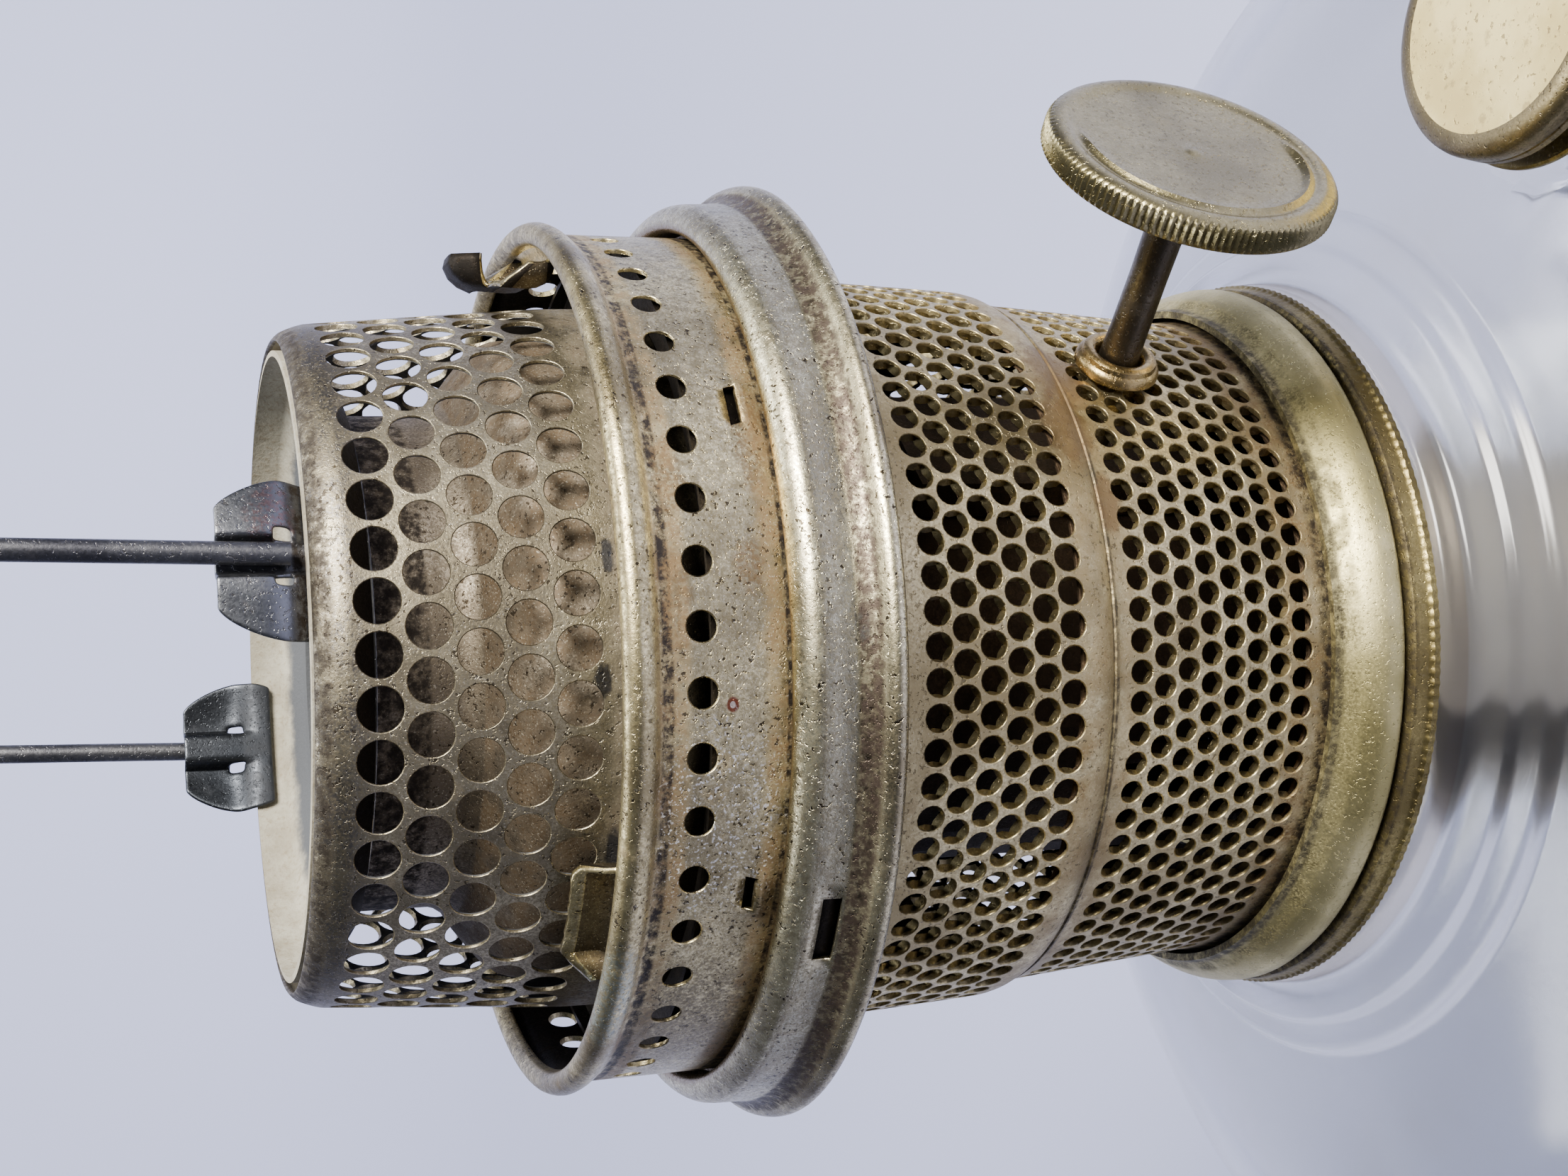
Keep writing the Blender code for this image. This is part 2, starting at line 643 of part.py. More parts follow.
def glass_font(root):
    """The bowl on its foot, hollow, with a solid floor."""
    inside = FOOT_RADIUS - FOOT_EASE - FOOT_BAND
    profile = [
        (0.0, FOOT_KICK),
        (inside - FOOT_KICK, FOOT_KICK),
        (inside, 0.0),
        (FOOT_RADIUS - FOOT_EASE, 0.0),
        (FOOT_RADIUS, FOOT_EASE),
        (FOOT_RADIUS, FOOT_HEIGHT - FOOT_EASE),
        (FOOT_RADIUS - FOOT_EASE, FOOT_HEIGHT),
        (STEM_RADIUS, STEM_HEIGHT),
    ]
    profile += bowl_points(LOWER_BOWL_SHARES, FONT_RADIUS, -FONT_DROP)
    profile += bowl_points(UPPER_BOWL_SHARES, FONT_RADIUS, FONT_RISE)
    height = SHOULDER_TOP
    for radius, rise in zip(STEP_RADII, STEP_RISES):
        profile += [(radius + STEP_EASE, height), (radius, height + rise)]
        height += rise + STEP_SLOPE
    profile += [(NECK_RADIUS, GLASS_TOP), (NECK_RADIUS, NECK_TOP), (NECK_BORE, NECK_TOP)]
    inner_radius = FONT_RADIUS - FONT_WALL
    neck_share = NECK_BORE / inner_radius
    upper_shares = (neck_share, *INNER_BOWL_SHARES, 1.0)
    profile += bowl_points(upper_shares, inner_radius, FONT_RISE - FONT_WALL)
    profile += bowl_points((*INNER_BOWL_SHARES[::-1], 0.0), inner_radius, FONT_WALL - FONT_DROP)
    return solid("glass_font", turned_mesh(profile, FONT_SEGMENTS), GLASS, root)


def filler_frame(name):
    """An empty on the filler's axis, where it meets the shoulder."""
    height = FONT_EQUATOR + FONT_RISE * sqrt(1 - (FILLER_REACH / FONT_RADIUS) ** 2)
    place = polar(FILLER_REACH, FILLER_AZIMUTH, height)
    return frame(name, place, (0.0, FILLER_TILT, FILLER_AZIMUTH - pi / 2))


def build_filler(font):
    """The boss on the shoulder, its metal neck, and the screw cap with its gasket."""
    axis = filler_frame("filler_axis")
    cap_axis = filler_frame("filler_cap_axis")
    top = BOSS_HEIGHT + GAP + FILLER_FLANGE_THICKNESS
    neck_top = top + FILLER_THREAD_HEIGHT
    boss = solid("boss_shape", cylinder_mesh(BOSS_RADIUS, -BOSS_ROOT, BOSS_HEIGHT), GLASS, axis)
    over_boss = cylinder_mesh(BOSS_RADIUS + SEAT_MARGIN, BOSS_HEIGHT, neck_top)
    seat = solid("seat_cutter", over_boss, GLASS, axis)
    hole = solid("hole_cutter", cylinder_mesh(FILLER_HOLE, -BOSS_ROOT - OVERRUN, neck_top), GLASS, axis)
    carve(font, boss, "UNION")
    carve(font, seat)
    carve(font, hole)
    tube = FILLER_HOLE - RUN_GAP
    neck = [
        (FILLER_BORE, -FILLER_TUBE_DEPTH),
        (tube, -FILLER_TUBE_DEPTH),
        (tube, BOSS_HEIGHT + GAP),
        (FILLER_FLANGE, BOSS_HEIGHT + GAP),
        (FILLER_FLANGE, top),
        (FILLER_THREAD, top),
        (FILLER_THREAD, neck_top),
        (FILLER_BORE, neck_top),
    ]
    solid("filler_neck", turned_mesh(neck, SMALL_SEGMENTS), NICKEL, axis)
    cap_foot = top + CAP_STANDOFF
    inside = neck_top + GAP + GASKET_THICKNESS + GAP
    cap = [
        (0.0, inside),
        (CAP_BORE, inside),
        (CAP_BORE, cap_foot),
        (CAP_RADIUS, cap_foot),
        (CAP_RADIUS, inside + CAP_TOP - CAP_EASE),
        (CAP_RADIUS - CAP_EASE, inside + CAP_TOP),
        (0.0, inside + CAP_TOP),
    ]
    solid("filler_cap", turned_mesh(cap, SMALL_SEGMENTS), NICKEL, cap_axis)
    outer = CAP_BORE - GAP
    gasket = [
        (outer - GASKET_WIDTH, neck_top + GAP),
        (outer, neck_top + GAP),
        (outer, inside - GAP),
        (outer - GASKET_WIDTH, inside - GAP),
    ]
    solid("filler_gasket", turned_mesh(gasket, SMALL_SEGMENTS), CORK, cap_axis)


def build_collar(root):
    """The brass collar on the glass neck, and the plaster ring that holds it."""
    path = [
        (COLLAR_RADIUS + COLLAR_MILLING, COLLAR_FOOT),
        (COLLAR_RADIUS + COLLAR_MILLING, COLLAR_FOOT + COLLAR_MILLING_HEIGHT),
        (COLLAR_RADIUS, COLLAR_FOOT + COLLAR_MILLING_HEIGHT + COLLAR_MILLING),
        (COLLAR_RADIUS, COLLAR_TOP - COLLAR_MILLING),
        (COLLAR_RADIUS - COLLAR_MILLING, COLLAR_TOP),
        (COLLAR_BORE, COLLAR_TOP),
        (COLLAR_BORE, COLLAR_TOP - COLLAR_THREAD_LENGTH),
    ]
    solid("font_collar", turned_mesh(sheet_loop(path, COLLAR_SHEET)), BRASS, root)
    inner = NECK_RADIUS + GAP
    ring = [
        (inner, COLLAR_FOOT),
        (PLASTER_RADIUS, COLLAR_FOOT),
        (PLASTER_RADIUS, NECK_TOP),
        (inner, NECK_TOP),
    ]
    solid("collar_plaster", turned_mesh(ring), PLASTER, root)


def build_base(burner):
    """The bulged base ring with its thread, and the pan inside it."""
    path = [(BASE_THREAD_RADIUS, BASE_FOOT - BASE_THREAD_LENGTH), (BASE_THREAD_RADIUS, BASE_FOOT)]
    for out_share, rise_share in BASE_BULGE_SHARES:
        path.append((BASE_LIP_RADIUS + out_share * BASE_BULGE, BASE_FOOT + rise_share * BASE_HEIGHT))
    solid("burner_base", turned_mesh(sheet_loop(path, BASE_SHEET)), BRASS, burner)
    bore = OUTER_TUBE_RADIUS + RUN_GAP
    foot = PAN_TOP - PAN_THICKNESS
    pan = [(bore, foot), (PAN_RADIUS, foot), (PAN_RADIUS, PAN_TOP), (bore, PAN_TOP)]
    solid("burner_pan", turned_mesh(pan), BRASS, burner)


def build_basket(burner):
    """The perforated basket. One hole of its lower tier is on the shaft's axis."""
    lower_foot = Ring(BASKET_FOOT_RADIUS, LOWER_TIER_FOOT)
    lower_top = Ring(BASKET_HIP_RADIUS, LOWER_TIER_TOP)
    upper_foot = Ring(BASKET_HIP_RADIUS + BASKET_WAIST_STEP, UPPER_TIER_FOOT)
    upper_top = Ring(BASKET_TOP_RADIUS, UPPER_TIER_TOP)
    pitch = (SHAFT_HEIGHT - LOWER_TIER_FOOT) / (BASKET_LOWER_ROWS - 1 / 2)
    lower_heights = [LOWER_TIER_FOOT + pitch * (row + 1 / 2) for row in range(BASKET_LOWER_ROWS)]
    stages = [Ring(BASKET_FOOT_RADIUS, BASKET_FOOT), lower_foot]
    stages += rows_between(lower_foot, lower_top, lower_heights, BASKET_LOWER_HOLE)
    stages.append(lower_top)
    for out_share, rise_share in BASKET_WAIST_SHARES:
        radius = BASKET_HIP_RADIUS + out_share * BASKET_WAIST_STEP
        stages.append(Ring(radius, LOWER_TIER_TOP + rise_share * BASKET_WAIST))
    stages.append(upper_foot)
    upper_heights = spaced(UPPER_TIER_FOOT, UPPER_TIER_TOP, BASKET_UPPER_ROWS)
    stages += rows_between(upper_foot, upper_top, upper_heights, BASKET_UPPER_HOLE)
    stages += [upper_top, Ring(BASKET_TOP_RADIUS, BASKET_TOP)]
    stages.append(Ring(BASKET_TOP_RADIUS + BASKET_RIM, BASKET_TOP))
    wide = (BASKET_LOWER_ROWS - 1, 0, BASKET_SHAFT_HOLE)
    phase = KNOB_AZIMUTH - pi / BASKET_HOLES * ((BASKET_LOWER_ROWS - 1) % 2)
    mesh, _ = perforated_mesh(BASKET_HOLES, stages, phase, wide=wide)
    skin("burner_basket", mesh, SHEET, TAN_NICKEL, burner)


def build_flange(burner):
    """The moulded flange that rests on the basket's rim and holds the gallery in its well."""
    path = [(BASKET_TOP_RADIUS + RUN_GAP, FLANGE_FOOT)]
    for out_share, rise_share in FLANGE_SHARES:
        path.append((WELL_RADIUS + out_share * FLANGE_REACH, FLANGE_FOOT + rise_share * FLANGE_HEIGHT))
    path += [(WELL_RADIUS, WELL_FLOOR), (WELL_RADIUS - FLANGE_LEDGE, WELL_FLOOR)]
    solid("burner_flange", turned_mesh(sheet_loop(path, SHEET)), NICKEL, burner)


def build_tubes(burner, side):
    """Both wick tubes, with a slot for the rack and windows for the two air ducts."""
    outer_path = [(OUTER_TUBE_RADIUS, PAN_TOP - OUTER_TUBE_DROP), (OUTER_TUBE_RADIUS, OUTER_TUBE_TOP)]
    outer = solid("outer_wick_tube", turned_mesh(sheet_loop(outer_path, TUBE_WALL)), BRASS, burner)
    inner_path = [
        (0.0, INNER_TUBE_BASE),
        (INNER_TUBE_RADIUS, INNER_TUBE_BASE),
        (INNER_TUBE_RADIUS, INNER_TUBE_TOP),
    ]
    inner = solid("inner_wick_tube", turned_mesh(sheet_loop(inner_path, TUBE_WALL)), BRASS, burner)
    slot_low = (INNER_TUBE_RADIUS, -PINION_TIP - 2 * GAP, RACK_ROOM_FOOT - SHAFT_HEIGHT)
    slot_high = (OUTER_TUBE_RADIUS + OVERRUN, RACK_OUTSIDE + 2 * GAP, RACK_ROOM_TOP - SHAFT_HEIGHT)
    carve(outer, solid("slot_cutter", box_mesh(slot_low, slot_high), BRASS, side))
    half = DUCT_SIDE / 2 + GAP
    reach = OUTER_TUBE_RADIUS + OVERRUN
    middle = DUCT_HEIGHT - SHAFT_HEIGHT
    window = solid("window_cutter", box_mesh((-half, -reach, middle - half), (half, reach, middle + half)),
                   BRASS, side)
    carve(outer, window)
    carve(inner, window)
    for name, turn in (("air_duct_left", -pi / 2), ("air_duct_right", pi / 2)):
        duct = solid(name, duct_mesh(), BRASS, burner)
        duct.location = (0.0, 0.0, DUCT_HEIGHT)
        duct.rotation_euler = (0.0, 0.0, KNOB_AZIMUTH - pi / 2 + turn)


def duct_mesh():
    """A square tube along X through the walls of both wick tubes."""
    mesh = bmesh.new()
    ends = []
    for place in (INNER_TUBE_BORE - DUCT_OUTREACH, OUTER_TUBE_RADIUS + DUCT_OUTREACH):
        for half in (DUCT_SIDE / 2, DUCT_SIDE / 2 - SHEET):
            corners = ((-half, -half), (half, -half), (half, half), (-half, half))
            ends.append([mesh.verts.new((place, y, z)) for y, z in corners])
    near_outer, near_inner, far_outer, far_inner = ends
    for lower, upper in ((near_outer, far_outer), (far_outer, far_inner), (far_inner, near_inner),
                         (near_inner, near_outer)):
        join_rings(mesh, lower, upper)
    return mesh


def build_housing(side):
    """The box over the rack slot, fitted round the outer tube, with a hole for the shaft."""
    outer_low = (INNER_TUBE_RADIUS, -PINION_TIP - HOUSING_ROOM - HOUSING_WALL, HOUSING_FOOT - SHAFT_HEIGHT)
    outer_high = (
        GEAR_END + RUN_GAP + HOUSING_WALL,
        RACK_OUTSIDE + HOUSING_ROOM + HOUSING_WALL,
        RACK_ROOM_TOP + HOUSING_WALL - SHAFT_HEIGHT,
    )
    room_low = (-OVERRUN, -PINION_TIP - HOUSING_ROOM, RACK_ROOM_FOOT - SHAFT_HEIGHT)
    room_high = (GEAR_END + RUN_GAP, RACK_OUTSIDE + HOUSING_ROOM, RACK_ROOM_TOP - SHAFT_HEIGHT)
    housing = solid("pinion_housing", box_mesh(outer_low, outer_high), BRASS, side)
    tube = cylinder_mesh(OUTER_TUBE_RADIUS + GAP, HOUSING_FOOT - OVERRUN - SHAFT_HEIGHT,
                         RACK_ROOM_TOP + OVERRUN - SHAFT_HEIGHT, SEGMENTS)
    carve(housing, solid("tube_cutter", tube, BRASS, side))
    carve(housing, solid("room_cutter", box_mesh(room_low, room_high), BRASS, side))
    hole = along_x(cylinder_mesh(BUSHING_BORE, GEAR_START, outer_high[0] + OVERRUN))
    carve(housing, solid("shaft_cutter", hole, BRASS, side))


def build_bushing(side):
    """The flanged bushing that carries the shaft in the basket's wall."""
    boss = BASKET_SHAFT_RADIUS + GAP
    end = BASKET_SHAFT_RADIUS + BUSHING_STAND
    profile = [
        (BUSHING_BORE, BASKET_SHAFT_RADIUS - BUSHING_DEPTH),
        (BUSHING_SLEEVE_RADIUS, BASKET_SHAFT_RADIUS - BUSHING_DEPTH),
        (BUSHING_SLEEVE_RADIUS, boss),
        (BUSHING_RADIUS, boss),
        (BUSHING_RADIUS, end),
        (BUSHING_BORE, end),
    ]
    solid("shaft_bushing", along_x(turned_mesh(profile, SMALL_SEGMENTS)), BRASS, side)


def build_spreader():
    """The flame spreader: skirt in the inner tube, collar on its rim, perforated thimble above."""
    spreader = frame("spreader_axis")
    skirt = INNER_TUBE_BORE - RUN_GAP
    seat = INNER_TUBE_TOP + GAP
    foot = Ring(SPREADER_RADIUS, seat + SPREADER_COLLAR + SPREADER_NECK)
    top = Ring(SPREADER_RADIUS, foot.height + SPREADER_PERFORATION)
    stages = [
        Ring(skirt, INNER_TUBE_TOP - SPREADER_SKIRT),
        Ring(skirt, seat),
        Ring(INNER_TUBE_RADIUS, seat),
        Ring(INNER_TUBE_RADIUS, seat + SPREADER_COLLAR),
        foot,
    ]
    heights = spaced(foot.height, top.height, SPREADER_ROWS)
    stages += rows_between(foot, top, heights, SPREADER_HOLE_RADIUS)
    crown = top.height + SPREADER_CROWN
    stages += [top, Ring(SPREADER_RADIUS - SPREADER_CROWN, crown)]
    mesh, last = perforated_mesh(SPREADER_HOLES, stages)
    mesh.faces.new(last)
    skin("flame_spreader", mesh, SHEET, DARK_STEEL, spreader)


def build_wick_raiser():
    """The knob with its shaft and pinion, about the shaft's axis."""
    axis = frame("knob_axis", (0.0, 0.0, SHAFT_HEIGHT), (0.0, 0.0, KNOB_AZIMUTH - pi / 2))
    inner_rim = KNOB_RADIUS - KNOB_RIM
    knob = [
        (0.0, HUB_START),
        (KNOB_HUB_RADIUS, HUB_START),
        (KNOB_HUB_RADIUS, KNOB_BACK),
        (KNOB_RADIUS - KNOB_EASE, KNOB_BACK),
        (KNOB_RADIUS, KNOB_BACK + KNOB_EASE),
        (KNOB_RADIUS, KNOB_REACH - KNOB_EASE),
        (KNOB_RADIUS - KNOB_EASE, KNOB_REACH),
        (inner_rim, KNOB_REACH),
        (inner_rim - KNOB_DISH, KNOB_REACH - KNOB_DISH),
        (0.0, KNOB_REACH - KNOB_DISH),
    ]
    solid("wick_knob", along_x(turned_mesh(knob)), NICKEL, axis)
    solid("knob_shaft", along_x(cylinder_mesh(SHAFT_RADIUS, SHAFT_START, SHAFT_END)), DARK_STEEL, axis)
    outline = []
    for tooth in range(PINION_TEETH):
        middle = 2 * pi * tooth / PINION_TEETH
        for radius, width in ((PINION_ROOT, -TOOTH_ROOT_WIDTH), (PINION_TIP, -TOOTH_TIP_WIDTH),
                              (PINION_TIP, TOOTH_TIP_WIDTH), (PINION_ROOT, TOOTH_ROOT_WIDTH)):
            angle = middle + width / 2 / radius
            outline.append((radius * cos(angle), radius * sin(angle)))
    solid("wick_pinion", prism_mesh(outline, GEAR_START, GEAR_END), BRASS, axis)


def rack_outline():
    """The rack in the pinion's plane. A gap between two teeth is level with the shaft."""
    foot = RACK_FOOT - SHAFT_HEIGHT
    top = foot + RACK_LENGTH
    outline = [(RACK_OUTSIDE, foot), (RACK_OUTSIDE, top), (RACK_ROOT, top)]
    middle = TOOTH_PITCH / 2
    while middle + TOOTH_PITCH + TOOTH_ROOT_WIDTH / 2 < top:
        middle += TOOTH_PITCH
    while middle - TOOTH_ROOT_WIDTH / 2 > foot:
        outline += [
            (RACK_ROOT, middle + TOOTH_ROOT_WIDTH / 2),
            (RACK_TIP, middle + TOOTH_TIP_WIDTH / 2),
            (RACK_TIP, middle - TOOTH_TIP_WIDTH / 2),
            (RACK_ROOT, middle - TOOTH_ROOT_WIDTH / 2),
        ]
        middle -= TOOTH_PITCH
    return outline + [(RACK_ROOT, foot)]


def build_carriage():
    """The wick with its carrier ring, the arm under it and the rack on the arm."""
    carriage = frame("carriage_axis", (0.0, 0.0, SHAFT_HEIGHT), (0.0, 0.0, KNOB_AZIMUTH - pi / 2))
    rack = prism_mesh(rack_outline(), RACK_START, GEAR_END)
    solid("wick_rack", rack, BRASS, carriage)
    foot = CARRIER_FOOT - SHAFT_HEIGHT
    ring = [(CARRIER_RADIUS, foot), (CARRIER_RADIUS, foot + CARRIER_BAND)]
    mesh = turned_mesh(sheet_loop(ring, SHEET), phase=pi / 2)
    arm = []
    for face in mesh.faces:
        centre = face.calc_center_median()
        span = atan2(centre.y, centre.x) / (2 * pi / SEGMENTS)
        if abs(centre.z - foot) < ON_AXIS and 0 < span < CARRIER_ARM_SEGMENTS:
            arm.append(face)
    grown = bmesh.ops.extrude_face_region(mesh, geom=arm)["geom"]
    lowered = [item for item in grown if isinstance(item, bmesh.types.BMVert)]
    bmesh.ops.translate(mesh, vec=(0.0, 0.0, RACK_FOOT - CARRIER_FOOT), verts=lowered)
    bmesh.ops.delete(mesh, geom=arm, context="FACES")
    solid("wick_carrier", mesh, BRASS, carriage)
    low = PAN_TOP - WICK_TAIL - SHAFT_HEIGHT
    high = OUTER_TUBE_TOP + WICK_STAND - SHAFT_HEIGHT
    path = [(WICK_RADIUS, low), (WICK_RADIUS, high)]
    wick = solid("wick", turned_mesh(sheet_loop(path, WICK_THICKNESS)), COTTON, carriage)
    half = DUCT_SIDE / 2 + WICK_SLOT_MARGIN
    reach = WICK_RADIUS + OVERRUN
    slot_top = DUCT_HEIGHT + half - SHAFT_HEIGHT
    slot = box_mesh((-half, -reach, low - OVERRUN), (half, reach, slot_top))
    carve(wick, solid("tail_cutter", slot, COTTON, carriage))


def build_gallery():
    """The band with its bead and lugs, the floor inside it, and both cones."""
    gallery = frame("gallery_axis")
    stages = [
        Ring(BAND_RADIUS, BAND_FOOT),
        Row(BAND_RADIUS, BAND_FOOT + BAND_HOLE_RISE, 0.0, BAND_HOLE_RADIUS),
        Ring(BAND_RADIUS, BEAD_FOOT),
    ]
    for out_share, rise_share in BEAD_SHARES:
        radius = BEAD_MOUTH + out_share * (BEAD_RADIUS - BEAD_MOUTH)
        stages.append(Ring(radius, BEAD_FOOT + rise_share * BEAD_HEIGHT))
    mesh, lip = perforated_mesh(BAND_HOLES, stages, BAND_HOLE_PHASE, density=1)
    for lug in range(LUG_COUNT):
        start = LUG_SKIPPED_HOLES + lug * BAND_HOLES // LUG_COUNT
        root = [lip[(start + step) % BAND_HOLES] for step in range(LUG_HOLES + 1)]
        add_lug(mesh, root)
    skin("gallery_band", mesh, SHEET, NICKEL, gallery)
    outer = BAND_RADIUS - SHEET - GAP
    ledge = FLOOR_FOOT + CHIMNEY_LEDGE
    floor = [
        (FLOOR_BORE, FLOOR_FOOT),
        (LEDGE_RADIUS, FLOOR_FOOT),
        (LEDGE_RADIUS, ledge),
        (outer, ledge),
        (outer, ledge + FLOOR_UPSTAND),
    ]
    solid("gallery_floor", turned_mesh(sheet_loop(floor, SHEET)), NICKEL, gallery)
    build_cones(gallery)


def add_lug(mesh, root):
    """A tongue from the bead's lip, turned in and then up."""
    for scale_out, rise in ((LUG_REACH, 0.0), (LUG_REACH, LUG_HEIGHT)):
        lip_radius = BEAD_MOUTH - scale_out
        level = BEAD_FOOT + BEAD_SHARES[-1][1] * BEAD_HEIGHT + rise
        grown = []
        for point in root:
            flat = Vector((point.co.x, point.co.y, 0.0)).normalized() * lip_radius
            grown.append(mesh.verts.new((flat.x, flat.y, level)))
        for index in range(len(root) - 1):
            mesh.faces.new((root[index], root[index + 1], grown[index + 1], grown[index]))
        root = grown


def build_cones(gallery):
    """The perforated outer cone and the plain inner cone."""
    tier_foot = Ring(CONE_FOOT_RADIUS, CONE_TIER_FOOT)
    tier_top = Ring(CONE_SHOULDER_RADIUS, CONE_SHOULDER)
    stages = [Ring(CONE_FOOT_RADIUS, CONE_FOOT), tier_foot]
    heights = spaced(CONE_TIER_FOOT, CONE_SHOULDER, CONE_ROWS)
    stages += rows_between(tier_foot, tier_top, heights, CONE_HOLE_RADIUS)
    out_share, rise_share = CONE_TOP_SHARES
    bend = CONE_MOUTH_RADIUS + out_share * (CONE_SHOULDER_RADIUS - CONE_MOUTH_RADIUS)
    stages += [
        tier_top,
        Ring(bend, CONE_SHOULDER + rise_share * CONE_TOP_PLAIN),
        Ring(CONE_MOUTH_RADIUS, CONE_TOP),
    ]
    mesh, _ = perforated_mesh(CONE_HOLES, stages)
    skin("outer_cone", mesh, SHEET, NICKEL, gallery)
    out_share, rise_share = INNER_CONE_SHOULDER_SHARES
    crease = CONE_FOOT + INNER_CONE_CREASE_HEIGHT
    throat = crease + INNER_CONE_SHOULDER_HEIGHT
    bend = INNER_CONE_THROAT + out_share * INNER_CONE_SHOULDER
    path = [
        (INNER_CONE_FOOT, CONE_FOOT),
        (INNER_CONE_CREASE, crease),
        (bend, crease + rise_share * INNER_CONE_SHOULDER_HEIGHT),
        (INNER_CONE_THROAT, throat),
        (INNER_CONE_SLEEVE, throat + INNER_CONE_NECKING_HEIGHT),
        (INNER_CONE_SLEEVE, CONE_FOOT + INNER_CONE_HEIGHT),
    ]
    solid("inner_cone", turned_mesh(sheet_loop(path, SHEET)), NICKEL, gallery)


def clip_mesh():
    """A clip about +X: a curved sheet with a groove for the wire between two flared wings."""
    mesh = bmesh.new()
    groove = WIRE_RADIUS + GAP
    rows = []
    for rise_share, width_share, flare_share in CLIP_ROW_SHARES:
        height = CLIP_FOOT + rise_share * (CLIP_TOP - CLIP_FOOT)
        half = width_share * CLIP_WIDTH / 2
        wing = groove + CLIP_GROOVE_RUN
        right = [(groove, 0.0), (wing, flare_share)]
        right += [(wing + share * (half - wing), flare_share) for share in CLIP_WING_SHARES]
        places = [(-across, flare) for across, flare in right[::-1]] + right
        row = []
        for across, flare in places:
            reach = CLIP_RADIUS + flare * CLIP_FLARE
            turn = across / CLIP_RADIUS
            row.append(mesh.verts.new((reach * cos(turn), reach * sin(turn), height)))
        rows.append(row)
    for lower, upper in zip(rows, rows[1:]):
        for index in range(len(lower) - 1):
            mesh.faces.new((lower[index], lower[index + 1], upper[index + 1], upper[index]))
    return mesh


def build_holder():
    """The ring in the cone's mouth, its two clips and the wire arch that holds the mantle."""
    turn = HOLDER_AZIMUTH - pi / 2
    holder = frame("holder_axis", rotation=(0.0, 0.0, turn))
    path = [
        (RING_BORE, RING_FOOT),
        (RING_SEAT_RADIUS, RING_FOOT),
        (RING_RADIUS, RING_FOOT + RING_SLOPE),
        (RING_RADIUS, RING_FOOT + RING_HEIGHT),
    ]
    solid("mantle_ring", turned_mesh(sheet_loop(path, SHEET)), DARK_STEEL, holder)
    for name, around in (("mantle_clip_near", 0.0), ("mantle_clip_far", pi)):
        clip = skin(name, clip_mesh(), CLIP_THICKNESS, BLUED_STEEL, holder)
        clip.rotation_euler = (0.0, 0.0, around)
    arch = [(WIRE_REACH, 0.0)]
    for step in range(WIRE_STEPS + 1):
        angle = pi * step / WIRE_STEPS
        arch.append((WIRE_REACH * cos(angle), WIRE_LEG + WIRE_REACH * sin(angle)))
    arch.append((-WIRE_REACH, 0.0))
    curve = bpy.data.curves.new("mantle_arch_wire", "CURVE")
    curve.dimensions = "3D"
    curve.bevel_depth = WIRE_RADIUS
    curve.bevel_resolution = WIRE_BEVEL_STEPS
    curve.use_fill_caps = True
    spline = curve.splines.new("POLY")
    spline.points.add(len(arch) - 1)
    for point, (across, height) in zip(spline.points, arch):
        point.co = (across, 0.0, height, 1.0)
    wire = add_object("mantle_arch_wire", curve, DARK_STEEL, holder)
    wire.location = (0.0, 0.0, WIRE_BOTTOM)
    wire.rotation_euler = (-WIRE_LEAN, 0.0, 0.0)


def main():
    for item in list(bpy.data.objects):
        bpy.data.objects.remove(item, do_unlink=True)
    root = frame("font_axis")
    burner = frame("burner_axis")
    side = frame("burner_side", (0.0, 0.0, SHAFT_HEIGHT), (0.0, 0.0, KNOB_AZIMUTH - pi / 2))
    font = glass_font(root)
    build_filler(font)
    build_collar(root)
    build_base(burner)
    build_basket(burner)
    build_flange(burner)
    build_tubes(burner, side)
    build_housing(side)
    build_bushing(side)
    build_spreader()
    build_wick_raiser()
    build_carriage()
    build_gallery()
    build_holder()


main()
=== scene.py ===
"""Looks of the mantle oil lamp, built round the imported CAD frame.

Lengths here are millimetres and azimuths are degrees from -Y, the camera's side, towards +X.
A path is a list of (radius, height) points.
"""

from math import atan2, cos, degrees, pi, radians, sin, sqrt

import bmesh
import bpy
from mathutils import Matrix, Vector, noise


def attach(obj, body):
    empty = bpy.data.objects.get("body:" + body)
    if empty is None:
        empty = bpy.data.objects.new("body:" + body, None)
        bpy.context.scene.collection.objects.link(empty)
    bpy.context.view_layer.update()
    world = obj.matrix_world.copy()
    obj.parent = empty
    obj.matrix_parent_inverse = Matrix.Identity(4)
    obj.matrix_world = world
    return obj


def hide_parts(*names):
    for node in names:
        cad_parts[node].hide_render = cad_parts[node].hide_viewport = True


MM = 0.001

# Camera
CAMERA_PLACE = (0.0, -165.2, 206.8)
CAMERA_LENS = 47.23
CAMERA_PITCH = 19.19
CAMERA_YAW = 1.77
CAMERA_ROLL = -1.39

# Bodies' own axes
KNOB_AZIMUTH = 46.8
SHAFT_HEIGHT = 127.773
HOLDER_AZIMUTH = 17.5
FILLER_AZIMUTH = 53.2
FILLER_REACH = 57.8
FILLER_HEIGHT = 93.742
FILLER_TILT = 8.0

# Counts and places that more than one line uses
COLLAR_TEETH = 220
KNOB_TEETH = 124
FILLER_THREAD_PITCH = 0.8
FLANGE_SLOT = (323.5, 332.0)
BAND_RADIUS = 34.0
BAND_SLITS = ((27.5, 32.5), (328.5, 333.0))
LIP_RADIUS = 32.9
LIP_HEIGHT = 171.3
LUG_HALF_WIDTH = 9.8
LUG_RISE = 3.1
LUG_AZIMUTHS = (-37.0, 83.0, 203.0)
CURLED_LUG = 83.0
CLIP_RADIUS = 23.7
SHEET = 0.42

